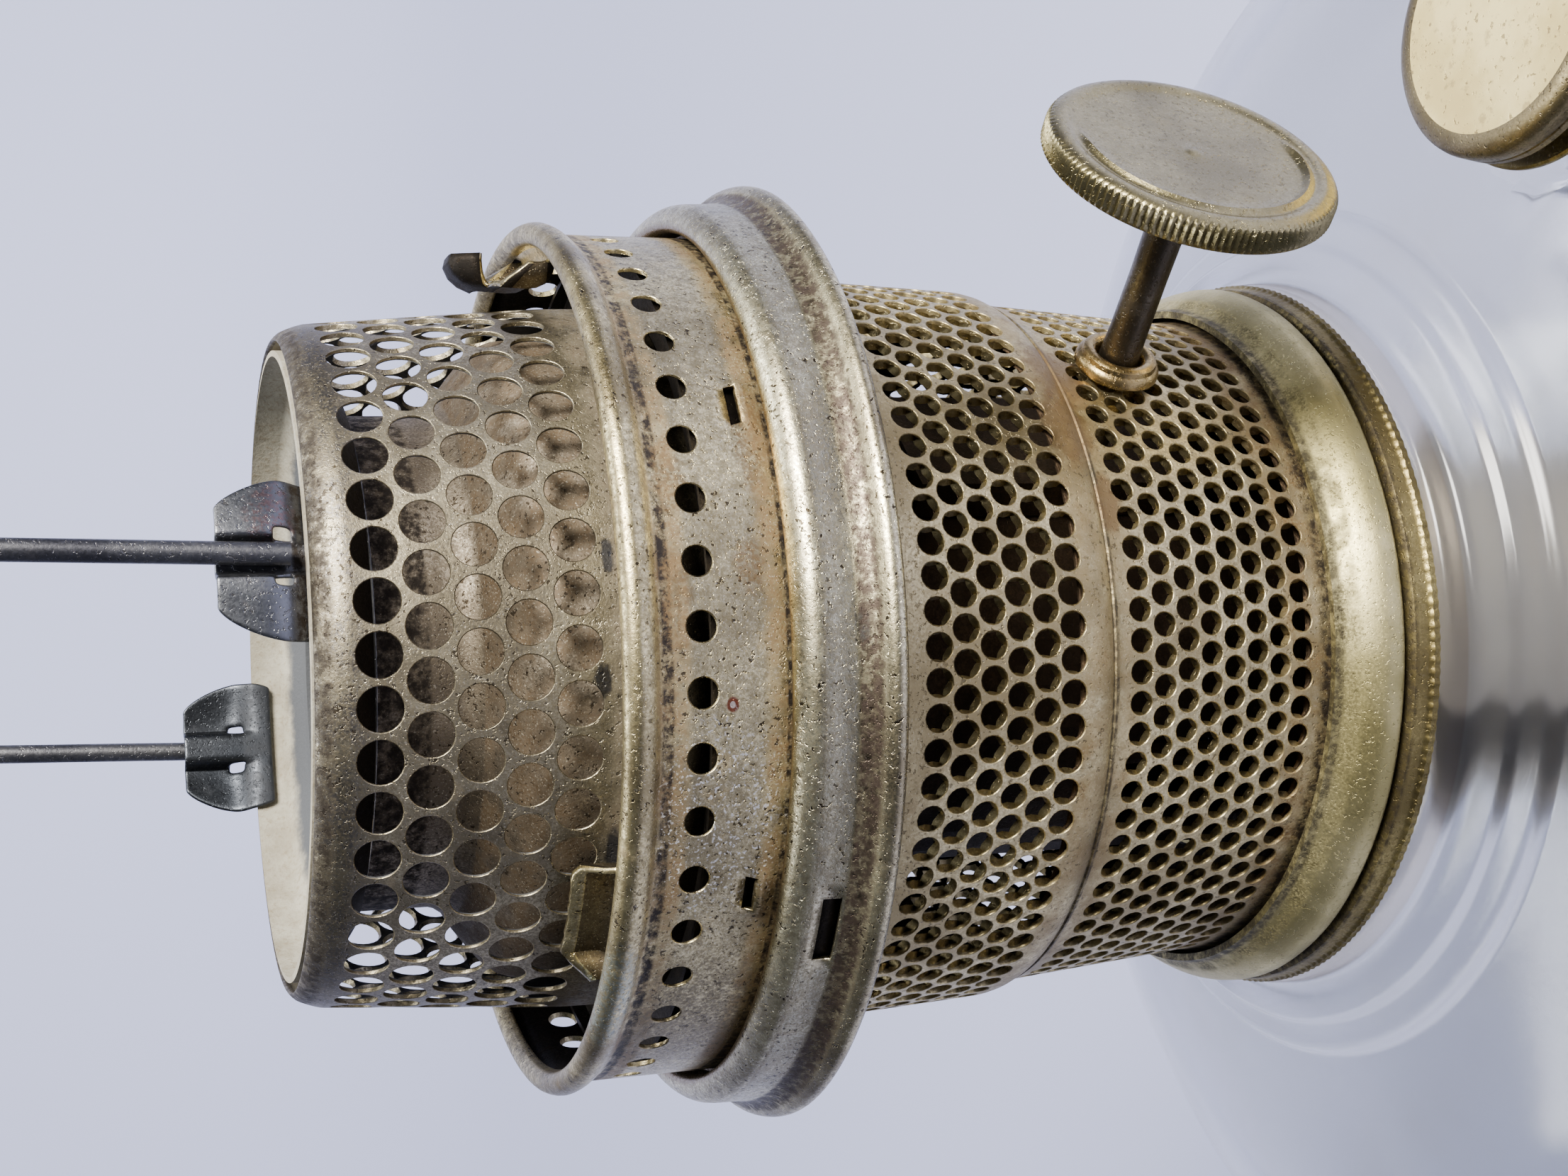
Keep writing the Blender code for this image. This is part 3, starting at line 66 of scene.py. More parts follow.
# Colors of pits, specks, rust and marks, and of dark bands that are partly painted shade
PIT_COLOR = (0.035, 0.025, 0.015)
FLECK_COLOR = (0.9, 0.84, 0.68)
GRIME_AND_SHADE_COLOR = (0.024, 0.018, 0.013)
RUST_COLOR = (0.22, 0.14, 0.06)
DARK_MARK_COLOR = (0.03, 0.032, 0.04)

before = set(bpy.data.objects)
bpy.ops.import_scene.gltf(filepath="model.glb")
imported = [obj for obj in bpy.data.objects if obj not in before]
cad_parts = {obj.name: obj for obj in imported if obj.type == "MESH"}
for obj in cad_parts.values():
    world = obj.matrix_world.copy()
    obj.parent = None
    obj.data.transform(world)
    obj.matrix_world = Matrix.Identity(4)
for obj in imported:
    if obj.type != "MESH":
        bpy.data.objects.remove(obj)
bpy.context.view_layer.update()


def at(radius, azimuth, height):
    """A point at this radius, azimuth and height, in metres."""
    angle = radians(azimuth)
    return Vector((radius * sin(angle), -radius * cos(angle), height)) * MM


def smooth_step(low, high, value):
    share = min(max((value - low) / (high - low), 0.0), 1.0)
    return share * share * (3 - 2 * share)


def soften(path, steps=4):
    """Runs a smooth curve through a path's points."""
    dense = []
    last = len(path) - 1
    for index in range(last):
        p0, p1, p2, p3 = (Vector(path[min(max(index + step, 0), last)]) for step in (-1, 0, 1, 2))
        for step in range(steps):
            t = step / steps
            point = 0.5 * (2 * p1 + (p2 - p0) * t + (2 * p0 - 5 * p1 + 4 * p2 - p3) * t * t
                           + (3 * p1 - p0 - 3 * p2 + p3) * t ** 3)
            dense.append(tuple(point))
    return dense + [tuple(path[-1])]


# Procedural finishes
class Finish:
    """A procedural material on object coordinates, counted in millimetres."""

    def __init__(self, name, metallic=0.0, roughness=0.5, **inputs):
        self.made = bpy.data.materials.new(name)
        self.made.use_nodes = True
        self.tree = self.made.node_tree
        self.shader = self.tree.nodes["Principled BSDF"]
        self.shader.inputs["Metallic"].default_value = metallic
        self.shader.inputs["Roughness"].default_value = roughness
        for key, value in inputs.items():
            self.shader.inputs[key.replace("_", " ")].default_value = value
        place = self.add("ShaderNodeTexCoord").outputs["Object"]
        self.place = self.add("ShaderNodeVectorMath", {0: place, "Scale": 1 / MM},
                              operation="SCALE").outputs[0]
        parts = self.add("ShaderNodeSeparateXYZ", {0: self.place}).outputs
        self.across, self.depth, self.height = parts
        self.normal = None
        flat = self.math("ADD", self.times(self.across, self.across), self.times(self.depth, self.depth))
        self.radius = self.math("SQRT", flat)
        angle = self.math("ARCTAN2", self.across, self.times(self.depth, -1.0))
        self.azimuth = self.times(angle, 180 / pi)

    def add(self, kind, inputs=(), **settings):
        node = self.tree.nodes.new(kind)
        for key, value in settings.items():
            setattr(node, key, value)
        for key, value in dict(inputs).items():
            self.feed(node.inputs[key], value)
        return node

    def feed(self, socket, value):
        if isinstance(value, bpy.types.NodeSocket):
            self.tree.links.new(value, socket)
        elif isinstance(value, tuple) and len(value) == 3 and socket.type == "RGBA":
            socket.default_value = (*value, 1.0)
        else:
            socket.default_value = value

    def scaled(self, size):
        """The place, counted in steps of this many millimetres."""
        return self.add("ShaderNodeVectorMath", {0: self.place, 1: (1 / size,) * 3},
                        operation="MULTIPLY").outputs[0]

    def noise(self, size, detail=4.0, rough=0.55):
        """Soft noise whose features are about this many millimetres."""
        return self.add("ShaderNodeTexNoise", {"Vector": self.scaled(size), "Scale": 1.0,
                                               "Detail": detail, "Roughness": rough}).outputs[0]

    def cells(self, size):
        """Distance to the nearest of scattered points, this many millimetres apart."""
        return self.add("ShaderNodeTexVoronoi", {"Vector": self.scaled(size), "Scale": 1.0},
                        feature="F1").outputs["Distance"]

    def step(self, value, low, high):
        """From 0 at low to 1 at high."""
        return self.add("ShaderNodeMapRange", {0: value, 1: low, 2: high},
                        interpolation_type="SMOOTHSTEP").outputs[0]

    def math(self, operation, first, second=0.0, clamp=False):
        return self.add("ShaderNodeMath", {0: first, 1: second}, operation=operation,
                        use_clamp=clamp).outputs[0]

    def times(self, first, second):
        return self.math("MULTIPLY", first, second)

    def plus(self, first, second):
        return self.math("ADD", first, second, clamp=True)

    def band(self, low, high, soft):
        """1 between two heights, with soft edges outside them."""
        rise = self.step(self.height, low - soft, low)
        return self.times(rise, self.step(self.height, high + soft, high))

    def blot(self, azimuth, height, wide, tall, ragged=0.7):
        """An uneven stain about a place, this many degrees wide and millimetres tall each way."""
        across = self.times(self.math("SUBTRACT", self.azimuth, azimuth), 1 / wide)
        along = self.times(self.math("SUBTRACT", self.height, height), 1 / tall)
        reach = self.math("SQRT", self.math("ADD", self.times(across, across), self.times(along, along)))
        uneven = self.times(self.noise(0.9, 5.0, 0.7), 2 * ragged)
        return self.step(self.math("ADD", reach, uneven), 1.0 + ragged * 1.25, 0.75 + ragged * 0.8)

    def cover(self, share, color):
        """Mixes one more color over what the surface has so far."""
        self.color(self.mix(share, self.shader.inputs["Base Color"].links[0].from_socket, color))

    def stain(self, row, amount, color, within=None):
        """Covers one blot, given as a row of its values; within is a share that breaks it up."""
        share = self.blot(*row)
        if within is not None:
            share = self.times(share, within)
        self.cover(self.times(share, amount), color)

    def mix(self, share, first, second):
        node = self.add("ShaderNodeMix", data_type="RGBA")
        self.feed(node.inputs[0], share)
        self.feed(node.inputs[6], first)
        self.feed(node.inputs[7], second)
        return node.outputs[2]

    def color(self, value):
        self.feed(self.shader.inputs["Base Color"], value)

    def rough(self, value, low, high):
        """Roughness from low to high as value goes from 0 to 1."""
        spread = self.add("ShaderNodeMapRange", {0: value, 3: low, 4: high}).outputs[0]
        self.feed(self.shader.inputs["Roughness"], spread)

    def bump(self, height, distance, strength=1.0):
        """Adds relief this many millimetres deep."""
        node = self.add("ShaderNodeBump",
                        {"Height": height, "Distance": distance * MM, "Strength": strength})
        if self.normal is not None:
            self.feed(node.inputs["Normal"], self.normal)
        self.normal = node.outputs[0]
        self.feed(self.shader.inputs["Normal"], self.normal)


def aged_metal(name, light, dark, stain, rough=(0.3, 0.55), stains=(), grime_and_shade=(), tints=(), spots=0.35,
               tarnish=0.5, mottle=0.45, grain=0.03, grit=0.5, flecks=0.3):
    """Old plated metal: clouded and mottled tones, dark pits, pale specks, and stains in bands of heights.

    stains and the dark bands have (low, high, soft, amount) rows, and tints end in a color; tarnish is how
    much stain lies outside its bands. The dark bands are soiling in some places and painted shade in
    others, and a tint can be a painted highlight.
    """
    f = Finish(name, metallic=1.0)
    clouds = f.noise(11.0, 4.0, 0.6)
    patches = f.noise(2.6, 7.0, 0.68)
    mottled = f.noise(0.85, 6.0, 0.72)
    fine = f.noise(0.2, 3.0, 0.65)
    crowds = f.step(f.noise(3.4, 4.0, 0.6), 0.4, 0.62)
    pits = f.step(f.noise(0.36, 2.0, 0.6), 0.59, 0.66)
    specks = f.step(f.noise(0.15, 1.0, 0.5), 0.64, 0.71)
    base = f.mix(f.step(clouds, 0.36, 0.64), dark, light)
    for low, high, soft, amount, color in tints:
        reach = f.times(f.band(low, high, soft), f.step(patches, 0.25, 0.6))
        base = f.mix(f.times(reach, amount), base, color)
    base = f.mix(f.times(f.step(mottled, 0.45, 0.58), mottle), base, dark)
    base = f.mix(f.times(f.step(fine, 0.44, 0.57), grit), base, dark)
    reach = f.times(f.step(patches, 0.56, 0.7), tarnish)
    for low, high, soft, amount in stains:
        reach = f.plus(reach, f.times(f.times(f.band(low, high, soft), f.step(patches, 0.32, 0.6)), amount))
    base = f.mix(f.times(reach, f.step(fine, 0.75, 0.4)), base, stain)
    base = f.mix(f.times(f.times(pits, spots), f.plus(crowds, 0.25)), base, PIT_COLOR)
    if flecks:
        base = f.mix(f.times(specks, flecks), base, FLECK_COLOR)
    # Dark bands of heights: soiling in some places, painted shade in others.
    grime_and_shade_share = 0.0
    for low, high, soft, amount in grime_and_shade:
        grime_and_shade_share = f.plus(grime_and_shade_share, f.times(f.times(f.band(low, high, soft), f.step(mottled, 0.3, 0.6)), amount))
    if grime_and_shade:
        base = f.mix(grime_and_shade_share, base, GRIME_AND_SHADE_COLOR)
        reach = f.plus(reach, grime_and_shade_share)
    f.color(base)
    f.rough(f.plus(f.times(f.step(fine, 0.3, 0.7), 0.5), f.times(reach, 0.7)), *rough)
    f.feed(f.shader.inputs["Metallic"], f.math("SUBTRACT", 1.0, f.times(reach, 0.35)))
    f.bump(f.noise(13.0, 2.0, 0.5), 0.5, 0.25)
    f.bump(mottled, grain, 0.5)
    f.bump(fine, grain * 0.7, 0.6)
    f.bump(pits, -0.05, 0.6)
    return f


# Mesh helpers
def evenly(count):
    """Azimuths of a full turn, sorted from 0."""
    return [360 * index / count for index in range(count)]


def ring(mesh, radius, height, azimuths, change=None):
    """One ring of (azimuth, vertex); change may move each of its points."""
    points = []
    for azimuth in azimuths:
        r, z = change(radius, azimuth, height) if change else (radius, height)
        points.append((azimuth, mesh.verts.new(at(r, azimuth, z))))
    return points


def pole(mesh, height):
    return [(0.0, mesh.verts.new((0.0, 0.0, height * MM)))]


def stitch(mesh, low, high):
    """The faces between two rings, of any lengths, sorted by azimuth."""
    if len(low) == 1 or len(high) == 1:
        tip, rim = (low[0][1], high) if len(low) == 1 else (high[0][1], low)
        for index in range(len(rim)):
            pair = rim[index][1], rim[(index + 1) % len(rim)][1]
            mesh.faces.new((*pair, tip) if len(high) == 1 else (*pair[::-1], tip))
        return
    i = j = 0
    while i < len(low) or j < len(high):
        a, b = low[i % len(low)][1], high[j % len(high)][1]
        next_a, next_b = low[(i + 1) % len(low)], high[(j + 1) % len(high)]
        turn_a = next_a[0] + 360 * ((i + 1) // len(low)) if i < len(low) else 1e6
        turn_b = next_b[0] + 360 * ((j + 1) // len(high)) if j < len(high) else 1e6
        if abs(turn_a - turn_b) < 1e-4:
            mesh.faces.new((a, next_a[1], next_b[1], b))
            i += 1
            j += 1
        elif turn_a < turn_b:
            mesh.faces.new((a, next_a[1], b))
            i += 1
        else:
            mesh.faces.new((a, next_b[1], b))
            j += 1


def sweep(mesh, path, azimuths, change=None, closed=False):
    """Turns a path. Returns its rings."""
    rings = [pole(mesh, z) if r == 0 else ring(mesh, r, z, azimuths, change) for r, z in path]
    for low, high in zip(rings, rings[1:]):
        stitch(mesh, low, high)
    if closed:
        stitch(mesh, rings[-1], rings[0])
    return rings


def tier(mesh, radius_at, heights, count, phase, hole, side=4, lip=0.1):
    """Staggered rows of round holes, listed upward. Returns the lowest and highest rings."""
    columns = count * side
    step = 360 / columns
    pitch = heights[1] - heights[0] if len(heights) > 1 else 2 * hole + 1.2
    start = phase - side / 2 * step

    def spot(column, height, sunk=0.0):
        return mesh.verts.new(at(radius_at(height) - sunk, start + column * step, height))

    def named(row):
        return sorted(((start + column * step) % 360, vertex) for column, vertex in enumerate(row))

    low = lowest = [spot(column, heights[0] - pitch / 2) for column in range(columns)]
    for number, height in enumerate(heights):
        high = [spot(column, height + pitch / 2) for column in range(columns)]
        shift = side // 2 * (number % 2)
        walls = []
        for cell in range(count):
            column = (cell * side + shift) % columns
            middle = [spot(column, height - pitch / 2 + pitch * rise / side) for rise in range(1, side)]
            walls.append([low[column]] + middle + [high[column]])
        for cell in range(count):
            column = cell * side + shift
            left, right = walls[cell], walls[(cell + 1) % count]
            edge = [low[(column + k) % columns] for k in range(side)] + right[:-1]
            edge += [high[(column + side - k) % columns] for k in range(side)] + left[:0:-1]
            loops = [edge]
            for reach, sunk in ((hole + lip, 0.0), (hole, lip * 0.8)):
                loop = []
                for k in range(4 * side):
                    angle = 2 * pi * k / (4 * side) - 3 * pi / 4
                    rise = reach * sin(angle)
                    turn = degrees(reach * cos(angle) / radius_at(height)) / step
                    loop.append(spot(column + side / 2 + turn, height + rise, sunk))
                loops.append(loop)
            for outer, inner in zip(loops, loops[1:]):
                for k in range(4 * side):
                    after = (k + 1) % (4 * side)
                    mesh.faces.new((outer[k], outer[after], inner[after], inner[k]))
        low = high
    return named(lowest), named(high)


def outward(mesh):
    """Turns all faces of a closed mesh outward."""
    bmesh.ops.recalc_face_normals(mesh, faces=mesh.faces)


def middle_of(face):
    """A face's radius, azimuth from 0 to 360, and height."""
    middle = face.calc_center_median()
    return middle.xy.length / MM, degrees(atan2(middle.x, -middle.y)) % 360, middle.z / MM


def mesh_data(name, mesh):
    data = bpy.data.meshes.new(name)
    mesh.to_mesh(data)
    mesh.free()
    return data


def add_object(name, data):
    made = bpy.data.objects.new(name, data)
    bpy.context.scene.collection.objects.link(made)
    return made


def piece(name, mesh, finish, body, slot, *nodes, flat_angle=35.0, place=None):
    """A finished object that rides on a body and stands for CAD nodes."""
    data = mesh_data(name, mesh)
    data.shade_smooth()
    data.set_sharp_from_angle(angle=radians(flat_angle))
    if place is not None:
        data.transform(place)
    return dress(name, data, finish, body, slot, *nodes)


def dress(name, data, finish, body, slot, *nodes):
    made = add_object(name, data)
    data.materials.append(finish.made)
    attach(made, body)
    if nodes:
        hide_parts(*nodes)
    return made


def reshape(made, tool, place, operation):
    """Cuts or joins a tool shape into a mesh for good."""
    data = mesh_data("tool", tool)
    data.transform(place)
    cutter = add_object("tool", data)
    change = made.modifiers.new("tool", "BOOLEAN")
    change.operation = operation
    change.solver = "EXACT"
    change.object = cutter
    graph = bpy.context.evaluated_depsgraph_get()
    result = bpy.data.meshes.new_from_object(made.evaluated_get(graph))
    made.modifiers.clear()
    made.data = result
    bpy.data.objects.remove(cutter)


def thicken(made, thickness, inner=None):
    """Gives a sheet its thickness, away from its normals."""
    wall = made.modifiers.new("Thickness", "SOLIDIFY")
    wall.thickness = thickness * MM
    wall.offset = -1.0
    wall.use_even_offset = True
    if inner is not None:
        made.data.materials.append(inner.made)
        wall.material_offset = 1
        wall.material_offset_rim = 0
    return made


def turned(name, path, finish, body, slot, *nodes, count=144, change=None, place=None, flat_angle=35.0):
    """A closed piece turned from the outline of its section."""
    mesh = bmesh.new()
    sweep(mesh, path, evenly(count), change, closed=True)
    outward(mesh)
    return piece(name, mesh, finish, body, slot, *nodes, place=place, flat_angle=flat_angle)


def wavering(amount, seed, size=14.0):
    """Small dents, so that a turned sheet isn't perfect."""
    def change(radius, azimuth, height):
        spot = at(radius, azimuth, height) / (size * MM)
        return radius + amount * noise.noise(spot + Vector((seed, 0.0, 0.0))), height
    return change


def on_axis(azimuth, height, tilt=90.0, reach=0.0):
    """A frame at this reach and height, whose Z leans out by tilt at an azimuth and whose X is level."""
    angle, lean = radians(azimuth), radians(tilt)
    out = Vector((sin(angle) * sin(lean), -cos(angle) * sin(lean), cos(lean)))
    along = Vector((cos(angle), sin(angle), 0.0))
    third = out.cross(along)
    place = Matrix((along, third, out)).transposed().to_4x4()
    place.translation = at(reach, azimuth, height)
    return place


# Finishes
NICKEL = aged_metal("aged_nickel", (0.76, 0.65, 0.35), (0.22, 0.18, 0.095), (0.24, 0.16, 0.075),
                    (0.26, 0.56), stains=((160.0, 161.9, 1.0, 1.0), (168.2, 169.9, 0.7, 0.95)),
                    # The first dark band, 158.4 to 160.95 mm, is painted shade in the gap where the band
                    # stands in the flange's well.
                    grime_and_shade=((158.4, 160.95, 0.2, 1.0), (169.15, 169.7, 0.3, 1.0), (172.2, 172.6, 0.3, 0.4)),
                    tints=((163.4, 167.9, 1.2, 0.45, (0.7, 0.62, 0.39)),),
                    spots=0.9, tarnish=0.45, mottle=0.55, grain=0.04, grit=0.6)
FLANGE = aged_metal("flange_nickel", (0.72, 0.65, 0.41), (0.25, 0.21, 0.13), (0.19, 0.13, 0.065),
                    (0.24, 0.56), grime_and_shade=((153.3, 153.75, 0.4, 0.9), (155.5, 156.7, 0.3, 0.7)),
                    tints=((157.3, 159.0, 0.5, 0.6, (0.46, 0.45, 0.34)),
                           # This second tint is a painted highlight along the flange's crest.
                           (159.5, 160.9, 0.2, 0.8, (0.9, 0.84, 0.58))),
                    spots=0.95, tarnish=0.15, mottle=0.55, grain=0.04, grit=0.6)
BASKET = aged_metal("tan_nickel", (0.64, 0.545, 0.3), (0.27, 0.215, 0.105), (0.19, 0.12, 0.045),
                    (0.34, 0.6), stains=((112.0, 117.0, 2.5, 0.9), (132.2, 136.5, 1.0, 0.5)),
                    grime_and_shade=((112.0, 114.6, 1.0, 0.95), (133.5, 133.95, 0.15, 0.8), (152.6, 154.0, 0.8, 0.5)),
                    spots=0.55, tarnish=0.35, mottle=0.5, flecks=0.12)
CONE = aged_metal("cone_nickel", (0.57, 0.5, 0.335), (0.2, 0.17, 0.11), (0.16, 0.12, 0.075),
                  (0.34, 0.62), stains=((164.0, 170.8, 1.5, 0.75),), grime_and_shade=((190.6, 191.6, 0.7, 0.9),),
                  tints=((189.4, 192.0, 3.0, 1.0, (0.14, 0.13, 0.118)),), spots=0.8, tarnish=0.25,
                  mottle=0.45,
                  grain=0.05, grit=0.75)
DEFLECTOR = aged_metal("deflector_nickel", (0.4, 0.345, 0.265), (0.17, 0.14, 0.1), (0.13, 0.09, 0.05),
                       (0.5, 0.8), stains=((160.0, 178.9, 0.2, 1.0),), grime_and_shade=((182.9, 187.5, 0.5, 1.0),),
                       spots=0.9, tarnish=0.2, mottle=0.6, grain=0.07, grit=0.85)
BRASS = aged_metal("olive_brass", (0.43, 0.35, 0.14), (0.18, 0.14, 0.055), (0.1, 0.075, 0.03),
                   (0.34, 0.6), grime_and_shade=((108.5, 109.2, 0.3, 0.8),), spots=0.35, tarnish=0.4, mottle=0.35,
                   flecks=0.05)
BASE = aged_metal("base_brass", (0.74, 0.65, 0.33), (0.4, 0.345, 0.15), (0.14, 0.12, 0.05), (0.4, 0.62),
                  stains=((113.0, 115.2, 0.6, 0.95),),
                  grime_and_shade=((109.0, 109.5, 0.3, 0.8), (114.0, 114.9, 0.4, 0.8)),
                  spots=0.2, tarnish=0.2, mottle=0.2, grit=0.2, flecks=0.0)
KNOB = aged_metal("knob_nickel", (0.35, 0.3, 0.155), (0.2, 0.17, 0.085), (0.15, 0.12, 0.06),
                  (0.26, 0.46), spots=0.35, tarnish=0.3, mottle=0.35, grit=0.35, flecks=0.1)
INNER = aged_metal("inner_brass", (0.05, 0.034, 0.02), (0.02, 0.014, 0.009), (0.045, 0.025, 0.012),
                   (0.5, 0.75), spots=0.3, tarnish=0.4, flecks=0.0)
# A near-black finish that paints shade: inner sides, undersides, patches behind slots and the gallery
# trough's floor.
PAINTED_SHADE = aged_metal("painted_shade_metal", (0.034, 0.028, 0.022), (0.015, 0.013, 0.011), (0.05, 0.03, 0.015),
                  (0.55, 0.8), spots=0.3, tarnish=0.4, flecks=0.0)
LUG = aged_metal("lug_nickel", (0.2, 0.165, 0.11), (0.075, 0.058, 0.038), (0.07, 0.045, 0.025),
                 (0.36, 0.6), spots=0.7, tarnish=0.5)
STEM = aged_metal("stem_bronze", (0.19, 0.165, 0.12), (0.075, 0.062, 0.045), (0.05, 0.04, 0.03),
                  (0.34, 0.55), spots=0.2, tarnish=0.5, flecks=0.0)
BUSHING = aged_metal("bushing_brass", (0.6, 0.46, 0.2), (0.28, 0.2, 0.085), (0.1, 0.07, 0.035),
                     (0.25, 0.5), spots=0.3, tarnish=0.5, flecks=0.0)
STEEL = aged_metal("dark_steel", (0.18, 0.18, 0.185), (0.08, 0.08, 0.09), (0.1, 0.07, 0.05),
                   (0.35, 0.6), spots=0.3, tarnish=0.15, grit=0.25, flecks=0.0)
# Below 192.2 mm the clips are painted near black: painted shadow between each clip's foot and the cone's
# rim.
BLUED = aged_metal("blued_steel", (0.2, 0.205, 0.215), (0.1, 0.105, 0.115), (0.14, 0.12, 0.11),
                   (0.32, 0.55), grime_and_shade=((185.0, 192.2, 0.5, 1.0),), spots=0.4, tarnish=0.35, mottle=0.3,
                   grit=0.25, flecks=0.0)


def local_marks():
    """Stains and dark marks that sit at one place each, in rows of azimuth, height, reach in degrees and
    reach up; the far clip's darkening is painted shade.
    """
    NICKEL.stain((-6.2, 164.95, 1.0, 0.5, 0.2), 0.9, (0.16, 0.03, 0.015))
    NICKEL.stain((-6.2, 164.95, 0.45, 0.22, 0.1), 0.9, (0.6, 0.5, 0.4))
    grain = NICKEL.step(NICKEL.noise(0.3, 3.0, 0.65), 0.35, 0.6)
    for row, color in (
        ((9.7, 163.2, 3.5, 1.3), RUST_COLOR), ((25.0, 162.2, 9.0, 1.2), RUST_COLOR),
        ((6.0, 168.6, 7.0, 1.1), RUST_COLOR), ((20.0, 168.4, 5.0, 1.2), RUST_COLOR),
        ((-44.0, 171.6, 9.0, 1.6), (0.33, 0.36, 0.3)), ((-52.0, 165.0, 14.0, 5.0), (0.17, 0.14, 0.085)),
    ):
        NICKEL.stain(row, 0.8, color, grain)
    for row in ((3.0, 170.6, 7.0, 0.4), (-3.7, 172.3, 2.6, 0.7), (-30.0, 171.2, 5.0, 0.6),
                (14.0, 171.6, 3.0, 0.5)):
        CONE.stain(row, 0.85, DARK_MARK_COLOR)
    inside = FLANGE.step(FLANGE.radius, 35.25, 34.85)
    FLANGE.cover(FLANGE.times(inside, 0.8), (0.2, 0.14, 0.075))
    # A near-black mark and an uneven near-black stripe, 155.65 to 156.75 mm, across the flange's cove.
    FLANGE.stain((2.0, 156.6, 2.2, 0.5), 0.7, DARK_MARK_COLOR)
    uneven = FLANGE.step(FLANGE.noise(0.7, 5.0, 0.7), 0.36, 0.56)
    stripe = FLANGE.times(FLANGE.band(155.65, 156.75, 0.3), uneven)
    FLANGE.cover(FLANGE.times(stripe, 0.9), (0.06, 0.042, 0.032))
    crumbs = NICKEL.step(NICKEL.noise(0.24, 1.0, 0.5), 0.6, 0.66)
    NICKEL.stain((-20.0, 165.3, 12.5, 4.5), 0.8, (0.9, 0.87, 0.76), crumbs)
    for row in ((32.0, 135.0, 7.0, 2.6), (44.0, 133.6, 8.0, 3.0), (20.0, 133.0, 5.0, 1.2)):
        BASKET.stain(row, 0.75, (0.17, 0.105, 0.045))
    # The far clip, from 120 to 140 degrees round and beyond, is painted darker: painted shade.
    far = BLUED.step(BLUED.math("ABSOLUTE", BLUED.azimuth), 120.0, 140.0)
    BLUED.cover(BLUED.times(far, 0.8), (0.035, 0.04, 0.048))
    grain = BLUED.step(BLUED.noise(0.35, 4.0, 0.7), 0.42, 0.6)
    BLUED.stain((24.5, 193.8, 6.5, 1.7), 0.8, (0.16, 0.1, 0.095), grain)


local_marks()


def deposit_finish():
    """Cream mineral deposit on the metal in the cone's mouth, painted near black lower down: painted shade
    deep in the mouth.
    """
    f = Finish("cream_deposit", metallic=0.1, roughness=0.85)
    clouds = f.noise(3.5, 6.0, 0.7)
    grit = f.noise(0.4, 4.0, 0.65)
    base = f.mix(f.step(clouds, 0.35, 0.65), (0.3, 0.27, 0.2), (0.4, 0.375, 0.295))
    base = f.mix(f.times(f.step(grit, 0.5, 0.68), 0.5), base, (0.22, 0.17, 0.1))
    # Below about 189 mm the color turns near black: painted shade.
    low = f.step(f.math("ADD", f.height, f.times(clouds, 1.2)), 189.3, 188.6)
    f.color(f.mix(low, base, (0.07, 0.074, 0.08)))
    f.rough(grit, 0.75, 0.95)
    f.bump(grit, 0.08)
    return f


DEPOSIT = deposit_finish()


def glass_finish():
    f = Finish("clear_glass", roughness=0.03, IOR=1.5, Transmission_Weight=1.0)
    smear = f.step(f.noise(16.0, 4.0, 0.6), 0.5, 0.75)
    tint = f.mix(smear, (0.89, 0.895, 0.885), (0.85, 0.835, 0.78))
    f.color(f.mix(f.times(f.band(104.4, 108.0, 0.4), 0.75), tint, (0.62, 0.5, 0.34)))
    f.rough(f.step(f.height, 92.0, 101.0), 0.03, 0.2)
    f.bump(f.noise(22.0, 2.0, 0.5), 0.35, 0.2)
    return f


def plaster_finish():
    f = Finish("brown_plaster", roughness=0.75)
    grit = f.noise(0.6, 5.0, 0.7)
    f.color(f.mix(grit, (0.2, 0.14, 0.08), (0.46, 0.35, 0.22)))
    f.rough(grit, 0.65, 0.9)
    f.bump(grit, 0.2)
    return f


def cork_finish():
    f = Finish("cork", roughness=0.85)
    grit = f.cells(0.7)
    f.color(f.mix(grit, (0.12, 0.08, 0.05), (0.42, 0.28, 0.16)))
    f.rough(grit, 0.75, 0.95)
    f.bump(grit, 0.15)
    return f


def cotton_finish():
    f = Finish("cotton", roughness=0.95, Sheen_Weight=0.3)
    turn = f.math("ARCTAN2", f.across, f.depth)
    warp = f.math("SINE", f.times(turn, 120.0))
    weft = f.math("SINE", f.times(f.height, 5.2))
    weave = f.step(f.times(warp, weft), -1.0, 1.0)
    fuzz = f.noise(0.4, 3.0, 0.6)
    yarn = f.mix(weave, (0.5, 0.44, 0.33), (0.8, 0.75, 0.64))
    yarn = f.mix(f.times(fuzz, 0.4), yarn, (0.6, 0.52, 0.4))
    scorch = f.step(f.math("ADD", f.height, f.times(fuzz, 3.0)), 172.0, 178.0)
    soaked = f.step(f.height, 118.0, 110.0)
    yarn = f.mix(soaked, yarn, (0.42, 0.4, 0.37))
    f.color(f.mix(scorch, yarn, (0.03, 0.025, 0.02)))
    f.rough(weave, 0.85, 1.0)
    f.bump(weave, 0.3)
    f.bump(fuzz, 0.1)
    return f


GLASS = glass_finish()
PLASTER = plaster_finish()
CORK = cork_finish()
COTTON = cotton_finish()


# Font, collar and filler
def bowl(shares, radius, rise, equator=58.0):
    return [(radius * share, equator + rise * sqrt(1 - share * share)) for share in shares]


